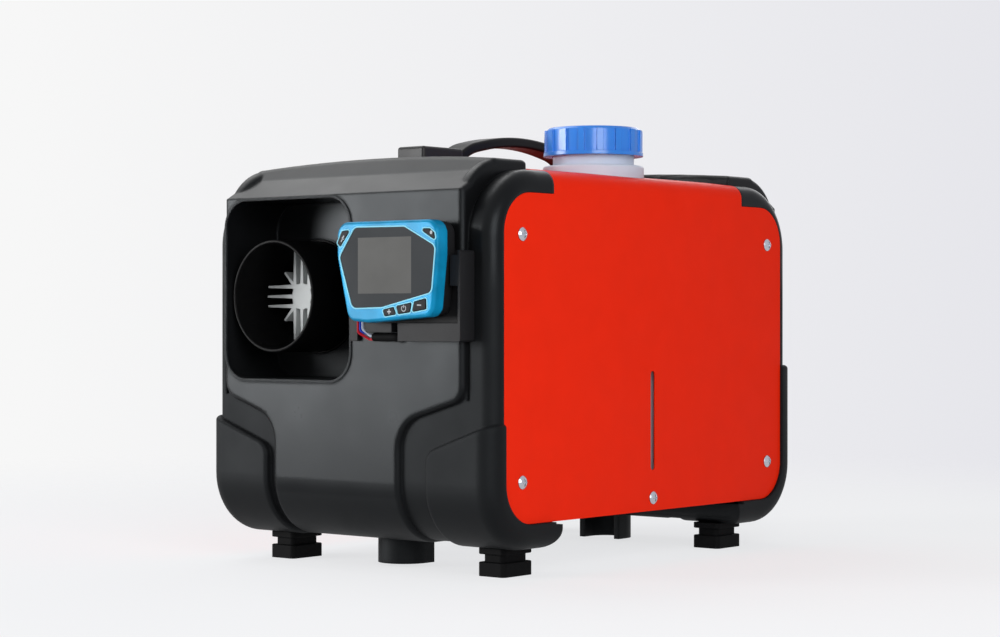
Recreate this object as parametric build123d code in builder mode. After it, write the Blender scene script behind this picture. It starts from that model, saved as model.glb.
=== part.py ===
from build123d import *
from math import cos, radians, sin, sqrt, tan
import os

# Portable all-in-one diesel air heater. Millimetres, +Z up, standing on the floor at z = 0.
# The hot-air outlet and the controller face -Y, the filler cap and the sight slot are towards +X.

os.makedirs("parts", exist_ok=True)

# ---------------------------------------------------------------- driving dimensions

seat_gap = 0.3  # between pieces that lie against each other
screw_gap = 0.2  # radial, round a screw's shank
overlap = 1.0  # how far two forms of one piece reach into each other
screw_dome = 0.65  # radius of a screw head's dome, as a share of its diameter
screw_cross = 0.55  # length of a screw head's cross, likewise

# Case: two moulded end shells joined by a folded steel cover and a base pan
case_length = 344.0  # front panel plane to rear panel plane
case_width = 245.0
case_floor = 20.0  # underside between the corner pads
case_side_top = 258.0  # top of the rounded corner tubes
top_roll = 45.0
bottom_roll = 40.0
side_round = 10.0
shell_wall = 3.2
shell_depth = 64.5  # from the panel plane to the end of the top tab
skirt_depth = 71.0  # from the panel plane to the end of the bottom skirt
skirt_top = 33.0
skirt_round = 13.0

# Raised panel that wraps from the front (or rear) over the top
panel_proud = 4.0
front_panel_left = -110.0
front_panel_right = 101.0
front_panel_low_left = -64.0
front_panel_low_right = 47.0
rear_panel_half = 110.0
rear_panel_low_half = 58.0
panel_waist_z = 113.0  # where the sides start to draw in
panel_waist_drop = 16.0
waist_round = 12.0
low_round = 22.0
panel_floor = 19.0
panel_crown = 269.6
panel_edge_drop = 4.4  # how much lower the crown is at the panel's sides
panel_roll = 41.0
crease_depth = 22.5
crease_z = 257.5
crease_slope = 30.0  # degrees, of the roll where it meets the crease
strip_slope = 42.0  # degrees, of the flat strip above the crease
ridge_round = 8.0  # between the strip and the plateau above it
panel_tail = 2.0  # the plateau ends this much before the tab
panel_round = 3.0
bead_radius = 40.0  # in side view, of the smooth bead along each side of the panel
bead_width = 13.0
bead_inner_round = 8.0
bead_reach = 33.0  # from the panel plane
bead_low = 195.0
foot_groove_width = 2.5  # shadow groove round the panel's foot
foot_groove_depth = 2.0

# Corner pads, proud of the front (or rear) and of the sides
pad_proud = 5.0
pad_side_proud = 2.0
pad_inner_x = 70.0
pad_front_top = 100.0
pad_rear_top = 132.0
pad_slope_drop = 20.0
pad_corner = 10.0
pad_round = 2.4

# Steel cover over the top and both sides
cover_thickness = 1.0
cover_length = 314.7
cover_bottom = 35.0
cover_shoulder = 242.9
cover_corner = 26.0
cover_crown = 266.0
cover_edge_z = 256.6
sight_slot_width = 5.0
sight_slot_low = 62.2
sight_slot_high = 128.6
cover_screw_y = 139.7  # from the case's middle
cover_screw_low = 61.5
cover_screw_high = 216.5
cover_screw_middle = 43.7
cover_head_diameter = 8.6
cover_head_height = 2.6
cover_shank_diameter = 4.0
cover_shank_length = 12.0
cover_boss_radius = 5.0

# Base pan
pan_z = 36.0
pan_thickness = 1.5
pan_length = 296.0
pan_flange_height = 24.0
pan_flange_length = 206.0

# Rubber feet
foot_height = 18.0
foot_width = 22.0
foot_length = 30.0
foot_x = 92.7
foot_y = 120.0
foot_ledge = 4.0
foot_waist = 5.0
foot_waist_inset = 2.6
foot_corner = 3.2
foot_nut_height = 4.0
foot_screw_diameter = 5.0
foot_screw_head = 10.0
foot_screw_recess = 6.0
foot_boss_radius = 7.0

# Pipe guards under the shells
guard_radius = 18.0
guard_wall = 4.5
guard_y = 112.0
guard_reach = 103.0
guard_bottom = 2.0

# Carrying handle
handle_width = 24.0
handle_cap_length = 41.0
handle_cap_height = 12.7
handle_cap_wall = 2.0
handle_outer_y = 107.0
strap_width = 19.0
strap_thickness = 7.0
strap_top = 290.5
strap_arch_radius = 200.0
strap_arch_half = 40.0
strap_knee_y = 54.0
strap_knee_radius = 40.0
strap_heel_y = 70.0
strap_heel_radius = 22.0
handle_screw_y = 92.0
handle_head_diameter = 7.6
handle_shank_length = 11.0

# Fuel tank with its neck and cap
tank_x = 62.0
tank_width = 108.0
tank_length = 250.0
tank_bottom = 44.0
tank_top = 250.0
tank_wall = 3.0
tank_round = 14.0
neck_x = 72.5
neck_diameter = 55.4
neck_wall = 3.2
neck_collar_diameter = 69.0
neck_collar_top = 267.6
neck_collar_round = 1.5
cap_bottom = 274.3
cap_top = 293.5
cap_diameter = 64.4
cap_rib_diameter = 67.2
cap_rim_diameter = 68.0
cap_rim_height = 2.6
cap_ribs = 16
cap_rib_width = 4.4
cap_bevel = 1.6
cap_wall = 2.6
cap_seal_thickness = 1.6
thread_gap = 0.5

# Hot-air outlet
outlet_x = -67.65
outlet_z = 178.8
recess_left = -109.7
recess_right = 7.4
recess_low = 121.8
recess_high = 244.4
recess_corner = 20.0
recess_wall = 2.0
recess_depth = 50.0
recess_lip = 0.8
collar_diameter = 75.0
collar_wall = 2.2
collar_set_back = 3.0
collar_shoulder = 47.0  # from the panel plane, where a duct pushed on the collar stops
collar_step = 1.0  # radial, behind the shoulder
collar_flange = 82.0

# Heater unit
heater_width = 100.0
heater_height = 112.0
heater_front = 55.0  # from the front panel plane
heater_length = 248.0
heater_wall = 2.5
heater_corner = 22.0
star_set_back = 28.0  # the exchanger's ribs behind the collar's rim
exchanger_radius = 38.0
exchanger_fin_radius = 45.0
exchanger_fins = 24
exchanger_fin_thickness = 2.0
exchanger_end = 198.0  # from the front panel plane
star_radius = 32.5
star_hub_radius = 8.9
rib_spacing = 6.6
rib_root = 3.4
rib_tip = 1.4
diagonal_reach = 23.0
port_radius = 15.0
port_height = 8.0  # how far the pipes go into their ports
burner_flange = 12.0
burner_flange_radius = 42.0
burner_tube_radius = 25.0
burner_tube_length = 92.0
burner_tube_wall = 2.0
burner_space = 4.0  # round the burner tube, in the exchanger
housing_radius = 43.0
housing_length = 30.0
motor_radius = 22.0
motor_length = 44.0
shaft_radius = 2.5
shaft_running_gap = 0.05
rotor_end_gap = 2.0  # between a turning wheel and what stands still beside it
hub_radius = 8.0
main_fan_radius = 42.0
main_fan_width = 16.0
fan_tip_gap = 1.0
main_fan_blades = 9
blade_thickness = 1.6
wheel_radius = 29.0
wheel_width = 13.0
wheel_plate = 2.0
wheel_blades = 12
pipe_drop = 8.0  # pipes end this far above the floor
pipe_end_length = 24.0  # of the plain ends that the outer pipes are pushed on
pipe_step = 0.8  # radial, above those ends
exhaust_diameter = 24.0
intake_diameter = 25.0
pipe_wall = 1.2
exhaust_depth = 156.0  # from the front panel plane
gasket_thickness = 2.2
gasket_width = 60.0
gasket_margin = 7.0
stand_thickness = 1.5
stand_width = 58.0
stand_length = 180.0
stand_foot = 10.0
plug_diameter = 6.0
plug_hex = 5.0
plug_depth = 18.0
plug_head = 7.0
sensor_width = 12.0
sensor_length = 18.0
sensor_height = 5.0
control_x = -55.0
control_width = 50.0
control_length = 52.0
control_height = 20.5
control_depth = 30.0  # from the front panel plane

# Fuel line, along the case between the heater's stand and the tank
line_x = -20.0
line_z = 60.0
hose_diameter = 8.0
hose_bend = 16.0  # of the short hose from the tank
hose_rise = 20.0  # of the long hose where it turns up to the heater
hose_rise_bend = 28.0
nipple_diameter = 4.0
nipple_length = 8.0
nipple_gap = 0.1
outlet_nut = 3.0
tank_outlet_y = -112.0  # from the case's middle, like the next three
filter_start = -88.0
pump_start = -38.0
fuel_pipe_y = 78.0
filter_body = 24.0
filter_diameter = 24.0
filter_nose = 6.0
pump_body = 46.0
pump_diameter = 26.0
pump_nose = 9.0
fuel_pipe_x = -30.0
fuel_pipe_level = 140.0
fuel_pipe_bend = 8.0
fuel_pipe_end = 108.0
clamp_thickness = 1.5
clamp_width = 14.0
clamp_foot = 30.0

# Remote controller in its cradle
controller_reach = 22.0  # the buttons' faces ahead of the panel
button_proud = 0.5
bezel_depth = 9.5
bezel_round = 2.0
bezel_wall = 1.6
bezel_front = 3.2  # thickness of the bezel's front
housing_depth = 9.0
housing_inset = 0.8
housing_wall = 2.4
lens_thickness = 1.5
lens_sink = 0.2
lens_ledge = 3.0
display_left = 32.6
display_right = 77.4
display_low = 179.5
display_high = 214.7
display_thickness = 2.2
board_thickness = 1.5
board_inset = 3.6
board_depth = 1.0  # the board's face ahead of the joint between bezel and housing
button_travel = 0.8
button_gap = 0.35
button_round = 0.8
cradle_plate = 2.6
cradle_left = 8.0
cradle_right = 107.5
cradle_bottom = 149.5
cradle_top = 206.0
cradle_arm = 2.0
cradle_round = 1.5
cradle_reach = 10.0  # of the arms and the blocks ahead of the panel
clip_low = 184.0
clip_high = 203.0
shelf_top = 161.0
shelf_left = 56.0
tongue_left = 27.0
tongue_right = 49.0
tongue_bottom = 154.5
tongue_reach = 8.0
lead_diameter = 1.7
lead_spacing = 2.0
lead_x = 20.0
lead_depth = 7.5  # ahead of the panel, where the leads leave the housing
lead_circle = 1.45  # from the sleeve's middle to each lead's middle
lead_stagger = 1.0  # between the leads' bends
lead_bend_height = 3.0  # of the lowest bend above the sleeve's middle
lead_free = 4.0  # between the first lead's last bend and the sleeve's mouth
sleeve_diameter = 5.5
sleeve_z = 152.0
sleeve_start_x = 30.0
sleeve_end_x = 52.0
sleeve_bend = 4.0
sleeve_depth = 3.2  # its middle ahead of the panel

# Rear
grille_diameter = 78.0
grille_hole = 72.0
grille_flange = 1.8
grille_depth = 6.0
grille_ring_radius = 29.0
grille_spokes = 8
grille_bar = 2.0
gland_diameter = 16.0
gland_reach = 14.0
gland_hex = 10.0
gland_flange = 5.0
gland_bore = 8.0
gland_tail = 12.0
gland_x = 30.0
gland_z = 75.0

# ---------------------------------------------------------------- derived places

half_width = case_width / 2
cover_strip = case_length - 2 * shell_depth - 2 * seat_gap
# The controller reaches further forward than the cable gland reaches back; this centres the whole.
case_y = (controller_reach - gland_reach) / 2
heater_y = case_y - case_length / 2 + heater_front
heater_bottom = outlet_z - heater_height / 2
front_face = case_y - case_length / 2
front_edges = (front_panel_left, front_panel_right, front_panel_low_left, front_panel_low_right)
rear_edges = (-rear_panel_half, rear_panel_half, -rear_panel_low_half, rear_panel_low_half)
cover_inner_x = half_width - cover_thickness - seat_gap
pan_top = pan_z + pan_thickness
stand_top = heater_bottom - gasket_thickness
neck_top = cap_top - cap_wall - cap_seal_thickness - 2 * seat_gap
# places along the heater's axis
exhaust_y = front_face + exhaust_depth
burner_y = front_face + exchanger_end
housing_y = burner_y + burner_flange
intake_y = housing_y + housing_length / 2
motor_y = housing_y + housing_length
main_fan_y = motor_y + motor_length + rotor_end_gap
bezel_y = front_face - controller_reach + button_proud
controller_joint_y = bezel_y + bezel_depth


def end_y(end, depth):
    """Y of a plane that lies depth inside the front (end = -1) or rear (end = 1) panel plane."""
    return case_y + end * (case_length / 2 - depth)


def finish(builder, name):
    builder.part.label = name
    export_step(builder.part, f"parts/{name}.step")


# ---------------------------------------------------------------- case forms


def rim_edges(part, is_wall):
    """The edges where a raised form's walls meet its outer faces."""
    wall_edges = part.faces().filter_by(is_wall).edges()
    skin = part.faces().filter_by(lambda face: not is_wall(face))
    return skin.edges().filter_by(lambda edge: any(edge.is_same(other) for other in wall_edges))


def case_block(end_inset, side_inset, floor_z, top_z, shrink):
    """The case's rounded form, with its end faces end_inset inside the panel planes."""
    with BuildPart() as block:
        with BuildSketch(Plane.YZ) as side:
            with Locations((case_y, (floor_z + top_z) / 2)):
                Rectangle(case_length - 2 * end_inset, top_z - floor_z)
            fillet(side.vertices().group_by(Axis.Y)[-1], top_roll - shrink)
            fillet(side.vertices().group_by(Axis.Y)[0], bottom_roll - shrink)
        extrude(amount=half_width - side_inset, both=True)
        fillet(block.faces().filter_by(Axis.X).edges(), side_round - shrink)
    return block.part


def core_ring(depth):
    """Side view of a band that lies depth under the case's surface, as a ring."""
    height = case_side_top - case_floor
    with BuildSketch() as ring:
        with Locations((case_y, case_floor + height / 2)):
            Rectangle(case_length - 2 * panel_proud, height)
        fillet(ring.vertices().group_by(Axis.Y)[-1], top_roll)
        fillet(ring.vertices().group_by(Axis.Y)[0], bottom_roll)
        offset(amount=-depth, mode=Mode.SUBTRACT)
    return ring.sketch


def cover_section(inset):
    """Front view of the cover's crowned top and straight sides, moved in by inset."""
    bottom = cover_bottom - 2 * cover_corner
    with BuildSketch() as section:
        with BuildLine():
            Line((-half_width, bottom), (-half_width, cover_edge_z))
            ThreePointArc((-half_width, cover_edge_z), (0, cover_crown), (half_width, cover_edge_z))
            Line((half_width, cover_edge_z), (half_width, bottom))
            Line((half_width, bottom), (-half_width, bottom))
        make_face()
        fillet(section.vertices().group_by(Axis.Y)[-1], side_round)
        if inset:
            offset(amount=-inset, mode=Mode.REPLACE)
    return section.sketch


def cover_outline(gap):
    """Side view of the steel cover, grown by gap."""
    strip_height = panel_crown - cover_bottom - cover_corner
    with BuildSketch() as outline:
        with Locations((case_y, (cover_bottom + cover_shoulder) / 2)):
            RectangleRounded(
                cover_length + 2 * gap, cover_shoulder - cover_bottom + 2 * gap, cover_corner + gap
            )
        with Locations((case_y, panel_crown - strip_height / 2)):
            Rectangle(cover_strip + 2 * gap, strip_height)
    return outline.sketch


def end_region(end):
    """The space of one end shell: down to the tab's end, and further under the skirt."""
    margin = 2 * pad_proud
    bottom = case_floor - pad_side_proud
    with BuildPart() as region:
        with BuildSketch(Plane.YZ) as side:
            with BuildLine():
                Polyline(
                    (end_y(end, -margin), bottom),
                    (end_y(end, skirt_depth), bottom),
                    (end_y(end, skirt_depth), skirt_top),
                    (end_y(end, shell_depth), skirt_top),
                    (end_y(end, shell_depth), panel_crown + margin),
                    (end_y(end, -margin), panel_crown + margin),
                    close=True,
                )
            make_face()
            heel = side.vertices().sort_by_distance((end_y(end, skirt_depth), bottom))[0]
            fillet(heel, skirt_round)
        extrude(amount=case_width, both=True)
    return region.part


def panel_outline(edges, inset):
    """Front view of the raised panel, moved in by inset."""
    left, right, low_left, low_right = edges
    left, right = left + inset, right - inset
    low_left, low_right = low_left + inset, low_right - inset
    crown = panel_crown - inset
    shoulder = crown - panel_edge_drop
    low_z = panel_waist_z - panel_waist_drop
    with BuildSketch() as outline:
        with BuildLine():
            Polyline(
                (left, shoulder),
                (left, panel_waist_z),
                (low_left, low_z),
                (low_left, 0),
                (low_right, 0),
                (low_right, low_z),
                (right, panel_waist_z),
                (right, shoulder),
            )
            ThreePointArc((right, shoulder), ((left + right) / 2, crown), (left, shoulder))
        make_face()
        fillet(outline.vertices().group_by(Axis.Y)[-2], waist_round)
        fillet(outline.vertices().group_by(Axis.Y)[1], low_round)
    return outline.sketch


def panel_form(end, edges, inset):
    """The raised panel of one end, as wide as edges say, with its faces moved in by inset."""
    outline = panel_outline(edges, inset)
    # along the sloping faces at the crease, this moves in by very nearly the inset
    shift = inset / sqrt(2)
    crease = crease_depth + shift
    low = crease_z - shift
    roll_z = low - (crease - inset) * tan(radians(crease_slope))
    ridge = crease + (panel_crown - inset - low) / tan(radians(strip_slope))
    above = panel_crown + panel_proud
    strip_end = crease + (above - low) / tan(radians(strip_slope))
    tail = shell_depth - panel_tail - inset
    with BuildPart() as panel:
        with BuildSketch(Plane.YZ) as side:
            with BuildLine():
                Polyline(
                    (end_y(end, inset), panel_floor + inset),
                    (end_y(end, inset), roll_z),
                    (end_y(end, crease), low),
                    (end_y(end, strip_end), above),
                    (end_y(end, tail), above),
                    (end_y(end, tail), panel_floor + inset),
                    close=True,
                )
            make_face()
            corners = side.vertices()
            heel = corners.sort_by_distance((end_y(end, inset), panel_floor + inset))[0]
            roll = corners.sort_by_distance((end_y(end, inset), roll_z))[0]
            fillet(heel, bottom_roll - inset)
            fillet(roll, panel_roll - inset)
        extrude(amount=case_width, both=True)
        with BuildSketch(Plane.XZ.offset(-case_y)):
            add(outline)
        extrude(amount=case_length, both=True, mode=Mode.INTERSECT)
        if not inset:
            middle = ((edges[0] + edges[1]) / 2, end_y(end, ridge), panel_crown)
            fillet(panel.edges().sort_by_distance(middle)[0], ridge_round)
            rims = rim_edges(
                panel, lambda face: abs(face.normal_at().X) > 0.05 or face.normal_at().Y * end < -0.9
            )
            fillet(rims, panel_round)
    return panel.part


def panel_bead(end, side_x, inward):
    """The smooth bead along one side of the panel: the creased face sinks in beside it."""
    rim_top = panel_crown - panel_edge_drop
    with BuildPart() as bead:
        with BuildSketch(Plane.YZ.offset(side_x)) as side:
            with Locations((end_y(end, bead_radius / 2), (bead_low + rim_top) / 2)):
                Rectangle(bead_radius, rim_top - bead_low)
            corner = side.vertices().sort_by_distance((end_y(end, 0), rim_top))[0]
            fillet(corner, bead_radius - seat_gap)
            with Locations((end_y(end, bead_reach / 2), (bead_low + rim_top) / 2)):
                Rectangle(bead_reach, rim_top - bead_low, mode=Mode.INTERSECT)
        extrude(amount=inward * bead_width)
        outer = bead.edges().filter_by(GeomType.CIRCLE).sort_by_distance((side_x, case_y, rim_top))[0]
        fillet(outer, panel_round)
        inner_side = bead.faces().filter_by(Axis.X).sort_by_distance((side_x, case_y, rim_top))[-1]
        fillet(inner_side.edges().filter_by(GeomType.CIRCLE), bead_inner_round)
    return bead.part


def pad_form(end, pad_top):
    """Both corner pads of one end: the outer block cut to their outline."""
    block = case_block(
        panel_proud - pad_proud, -pad_side_proud, case_floor - pad_side_proud, case_side_top, -pad_side_proud
    )
    reach = half_width + 2 * pad_side_proud
    low_z = pad_top - pad_slope_drop
    with BuildPart() as pads:
        add(block)
        with BuildSketch(Plane.XZ.offset(-case_y)) as front:
            for side in (-1, 1):
                with BuildLine():
                    Polyline(
                        (side * pad_inner_x, 0),
                        (side * pad_inner_x, low_z),
                        (side * reach, pad_top),
                        (side * reach, 0),
                        close=True,
                    )
                make_face()
            fillet(front.vertices().filter_by_position(Axis.Y, low_z - 1, low_z + 1), pad_corner)
        extrude(amount=case_length, both=True, mode=Mode.INTERSECT)
        split(bisect_by=Plane.XZ.offset(-case_y), keep=Keep.TOP if end < 0 else Keep.BOTTOM)
        fillet(rim_edges(pads, lambda face: face.normal_at().Z > 0.2
                         or (abs(face.normal_at().X) > 0.9 and abs(face.center().X) < pad_inner_x + 1)),
               pad_round)
    return pads.part


def shell_blank(end, edges, pad_top):
    """What the two end shells have in common: walls, panel, pads, bosses, guard and cover rebate."""
    core = case_block(panel_proud, 0, case_floor, case_side_top, 0)
    cavity = case_block(
        panel_proud + shell_wall, shell_wall, case_floor + shell_wall, case_side_top - shell_wall, shell_wall
    )
    region = end_region(end)
    panel = panel_form(end, edges, 0)
    beads = [panel_bead(end, edges[0], 1), panel_bead(end, edges[1], -1)]
    panel_cavity = panel_form(end, edges, shell_wall)
    pads = pad_form(end, pad_top)
    groove_height = case_side_top - panel_waist_z
    with BuildPart() as hollow:
        add(cavity)
        add(panel_cavity)
        with Locations((0, end_y(end, skirt_depth), skirt_top / 2)):
            Box(case_width, 2 * shell_wall, skirt_top, mode=Mode.SUBTRACT)
    with BuildPart() as grooves:
        with BuildSketch(Plane.YZ.offset(edges[0] - foot_groove_width)):
            add(core_ring(foot_groove_depth))
        extrude(amount=foot_groove_width)
        with BuildSketch(Plane.YZ.offset(edges[1])):
            add(core_ring(foot_groove_depth))
        extrude(amount=foot_groove_width)
        with Locations((0, end_y(end, (shell_depth - panel_tail) / 2), panel_waist_z + groove_height)):
            Box(case_width, shell_depth - panel_tail, 2 * groove_height, mode=Mode.INTERSECT)
    with BuildPart() as shell:
        add(core)
        add(pads)
        add(region, mode=Mode.INTERSECT)
        add(panel)
        add(beads)
        add(hollow.part, mode=Mode.SUBTRACT)
        add(grooves.part, mode=Mode.SUBTRACT)
        # bosses for the feet and for the cover's screws
        for side in (-1, 1):
            with BuildSketch(Plane.XY.offset(case_floor)):
                with Locations((side * foot_x, case_y + end * foot_y)):
                    Circle(foot_boss_radius)
            extrude(amount=pan_z - case_floor)
            with BuildSketch(Plane.XY):
                with Locations((side * foot_x, case_y + end * foot_y)):
                    Circle(foot_screw_diameter / 2 + screw_gap)
            extrude(amount=pan_z, mode=Mode.SUBTRACT)
            with BuildSketch(Plane.YZ.offset(side * cover_inner_x)):
                with Locations(
                    (case_y + end * cover_screw_y, cover_screw_low),
                    (case_y + end * cover_screw_y, cover_screw_high),
                ):
                    Circle(cover_boss_radius)
            extrude(amount=-side * cover_shank_length)
        # steel cover's rebate
        for side in (-1, 1):
            with BuildSketch(Plane.YZ.offset(side * cover_inner_x)):
                add(cover_outline(seat_gap))
            extrude(amount=side * 2 * pad_proud, mode=Mode.SUBTRACT)
            with BuildSketch(Plane.YZ.offset(side * half_width)):
                with Locations(
                    (case_y + end * cover_screw_y, cover_screw_low),
                    (case_y + end * cover_screw_y, cover_screw_high),
                ):
                    Circle(cover_shank_diameter / 2 + screw_gap)
            extrude(amount=-side * 2 * cover_shank_length, mode=Mode.SUBTRACT)
        # pipe guard, open towards the middle of the case
        with BuildSketch(Plane.XY.offset(guard_bottom)):
            for radius, mode in ((guard_radius, Mode.ADD), (guard_radius - guard_wall, Mode.SUBTRACT)):
                with Locations((0, case_y + end * guard_y)):
                    Circle(radius, mode=mode)
                with Locations((0, case_y + end * (guard_y + guard_reach) / 2)):
                    Rectangle(2 * radius, guard_y - guard_reach, mode=mode)
            with Locations((0, case_y + end * (guard_reach - guard_radius / 2))):
                Rectangle(2 * guard_radius, guard_radius, mode=Mode.SUBTRACT)
        extrude(amount=case_floor + shell_wall - guard_bottom)
    return shell.part


# ---------------------------------------------------------------- case pieces


def front_shell():
    blank = shell_blank(-1, front_edges, pad_front_top)
    recess_centre = ((recess_left + recess_right) / 2, (recess_low + recess_high) / 2)
    recess_width = recess_right - recess_left
    recess_height = recess_high - recess_low
    with BuildPart() as shell:
        add(blank)
        with BuildSketch(Plane.XZ.offset(recess_lip - front_face)):
            with Locations(recess_centre):
                RectangleRounded(recess_width, recess_height, recess_corner)
        extrude(amount=-recess_depth - recess_lip)
        with BuildSketch(Plane.XZ.offset(2 * recess_lip - front_face)):
            with Locations(recess_centre):
                RectangleRounded(
                    recess_width - 2 * recess_wall,
                    recess_height - 2 * recess_wall,
                    recess_corner - recess_wall,
                )
        extrude(amount=recess_wall - recess_depth - 2 * recess_lip, mode=Mode.SUBTRACT)
        rim_y = front_face - recess_lip
        rim = shell.faces().filter_by(Axis.Y).filter_by_position(Axis.Y, rim_y - 0.01, rim_y + 0.01)
        fillet(rim.edges(), recess_lip * 0.6)
        with BuildSketch(Plane.XZ.offset(-front_face)):
            with Locations((outlet_x, outlet_z)):
                Circle(collar_diameter / 2 + collar_step + seat_gap)
        extrude(amount=-2 * recess_depth, mode=Mode.SUBTRACT)
        # hole where the controller's lead enters
        with BuildSketch(Plane.XZ.offset(-front_face)):
            with Locations((sleeve_end_x, sleeve_z)):
                Circle(sleeve_diameter / 2 + seat_gap)
        extrude(amount=-2 * shell_wall, both=True, mode=Mode.SUBTRACT)
    finish(shell, "front_shell")


def rear_shell():
    blank = shell_blank(1, rear_edges, pad_rear_top)
    rear_face = end_y(1, 0)
    with BuildPart() as shell:
        add(blank)
        with BuildSketch(Plane.XZ.offset(-rear_face)):
            with Locations((outlet_x, outlet_z)):
                Circle(grille_hole / 2)
            with Locations((gland_x, gland_z)):
                Circle(gland_diameter / 2 + seat_gap)
        extrude(amount=4 * shell_wall, both=True, mode=Mode.SUBTRACT)
    finish(shell, "rear_shell")


def wrap_cover():
    screws = [
        (case_y - cover_screw_y, cover_screw_low),
        (case_y - cover_screw_y, cover_screw_high),
        (case_y + cover_screw_y, cover_screw_low),
        (case_y + cover_screw_y, cover_screw_high),
        (case_y, cover_screw_middle),
    ]
    with BuildPart() as cover:
        with BuildSketch(Plane.XZ.offset(-case_y)):
            add(cover_section(0))
            add(cover_section(cover_thickness), mode=Mode.SUBTRACT)
        extrude(amount=cover_length / 2, both=True)
        with BuildSketch(Plane.YZ):
            add(cover_outline(0))
        extrude(amount=case_width, both=True, mode=Mode.INTERSECT)
        with BuildSketch(Plane.YZ):
            with Locations(*screws):
                Circle(cover_shank_diameter / 2 + screw_gap)
        extrude(amount=case_width, both=True, mode=Mode.SUBTRACT)
        with BuildSketch(Plane.YZ):
            with Locations((case_y, (sight_slot_low + sight_slot_high) / 2)):
                SlotOverall(sight_slot_high - sight_slot_low, sight_slot_width, rotation=90)
        extrude(amount=case_width, mode=Mode.SUBTRACT)
        with BuildSketch(Plane.XY.offset(cover_shoulder)):
            with Locations((neck_x, case_y)):
                Circle(neck_collar_diameter / 2 + seat_gap)
            with Locations((0, case_y - handle_screw_y), (0, case_y + handle_screw_y)):
                Circle(cover_shank_diameter / 2 + screw_gap)
        extrude(amount=2 * cover_corner, mode=Mode.SUBTRACT)
    finish(cover, "wrap_cover")


def base_pan():
    inner_half = half_width - shell_wall - 2 * seat_gap
    holes = pipe_holes(seat_gap)
    with BuildPart() as pan:
        with BuildSketch(Plane.XY.offset(pan_z)):
            with Locations((0, case_y)):
                Rectangle(2 * inner_half, pan_length)
                Rectangle(2 * cover_inner_x, pan_flange_length)
            with Locations(*foot_places()):
                Circle(foot_screw_diameter / 2 + screw_gap, mode=Mode.SUBTRACT)
            add(holes, mode=Mode.SUBTRACT)
        extrude(amount=pan_thickness)
        for side in (-1, 1):
            with BuildSketch(Plane.YZ.offset(side * cover_inner_x)):
                with Locations((case_y, pan_z + pan_flange_height / 2)):
                    Rectangle(pan_flange_length, pan_flange_height)
                with Locations((case_y, cover_screw_middle)):
                    Circle(cover_shank_diameter / 2 + screw_gap, mode=Mode.SUBTRACT)
            extrude(amount=-side * pan_thickness)
    finish(pan, "base_pan")


def foot_places():
    return [(side * foot_x, case_y + end * foot_y) for end in (-1, 1) for side in (-1, 1)]


def feet():
    names = ("foot_front_left", "foot_front_right", "foot_rear_left", "foot_rear_right")
    waist_low = foot_height - foot_ledge - foot_waist
    for name, place in zip(names, foot_places()):
        with BuildPart() as foot:
            for low, high, inset in (
                (0, waist_low, 0),
                (waist_low, waist_low + foot_waist, foot_waist_inset),
                (waist_low + foot_waist, foot_height, 0),
            ):
                with BuildSketch(Plane.XY.offset(low)):
                    with Locations(place):
                        RectangleRounded(foot_width - 2 * inset, foot_length - 2 * inset, foot_corner)
                extrude(amount=high - low)
            rims = foot.edges().filter_by_position(Axis.Z, 0, foot_height, (False, False))
            fillet(rims.filter_by(lambda edge: edge.bounding_box().size.Z < 0.1), foot_waist_inset / 4)
            with BuildSketch(Plane.XY):
                with Locations(place):
                    Circle(foot_screw_head / 2 + screw_gap)
            extrude(amount=foot_screw_recess, mode=Mode.SUBTRACT)
            with BuildSketch(Plane.XY):
                with Locations(place):
                    Circle(foot_screw_diameter / 2 + screw_gap)
            extrude(amount=foot_height, mode=Mode.SUBTRACT)
        finish(foot, name)


def foot_fasteners():
    head_height = foot_screw_recess / 2
    with BuildPart() as screws:
        with BuildSketch(Plane.XY.offset(foot_screw_recess - head_height)):
            with Locations(*foot_places()):
                Circle(foot_screw_head / 2)
        extrude(amount=head_height)
        with BuildSketch(Plane.XY.offset(foot_screw_recess)):
            with Locations(*foot_places()):
                Circle(foot_screw_diameter / 2)
        extrude(amount=pan_top + 2 * foot_nut_height - foot_screw_recess)
    finish(screws, "foot_screws")
    with BuildPart() as nuts:
        with BuildSketch(Plane.XY.offset(pan_top)):
            with Locations(*foot_places()):
                RegularPolygon(foot_screw_head / 2, 6)
                Circle(foot_screw_diameter / 2 + shaft_running_gap, mode=Mode.SUBTRACT)
        extrude(amount=foot_nut_height)
    finish(nuts, "foot_nuts")


def pan_head_screw(head_diameter, head_height, shank_diameter, shank_length):
    """A cross-head screw, seated at the origin with its head towards +Z."""
    slot = shank_diameter / 4
    cross_length = head_diameter * screw_cross
    dome_radius = head_diameter * screw_dome
    with BuildPart() as screw:
        with BuildSketch(Plane.XZ):
            with BuildLine():
                Line((0, -shank_length), (shank_diameter / 2, -shank_length))
                Line((shank_diameter / 2, -shank_length), (shank_diameter / 2, 0))
                Line((shank_diameter / 2, 0), (head_diameter / 2, 0))
                Line((head_diameter / 2, 0), (head_diameter / 2, head_height / 4))
                RadiusArc((head_diameter / 2, head_height / 4), (0, head_height), -dome_radius)
                Line((0, head_height), (0, -shank_length))
            make_face()
        revolve(axis=Axis.Z)
        with Locations((0, 0, head_height)):
            Box(cross_length, slot, head_height, mode=Mode.SUBTRACT)
            Box(slot, cross_length, head_height, mode=Mode.SUBTRACT)
    return screw.part


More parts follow.
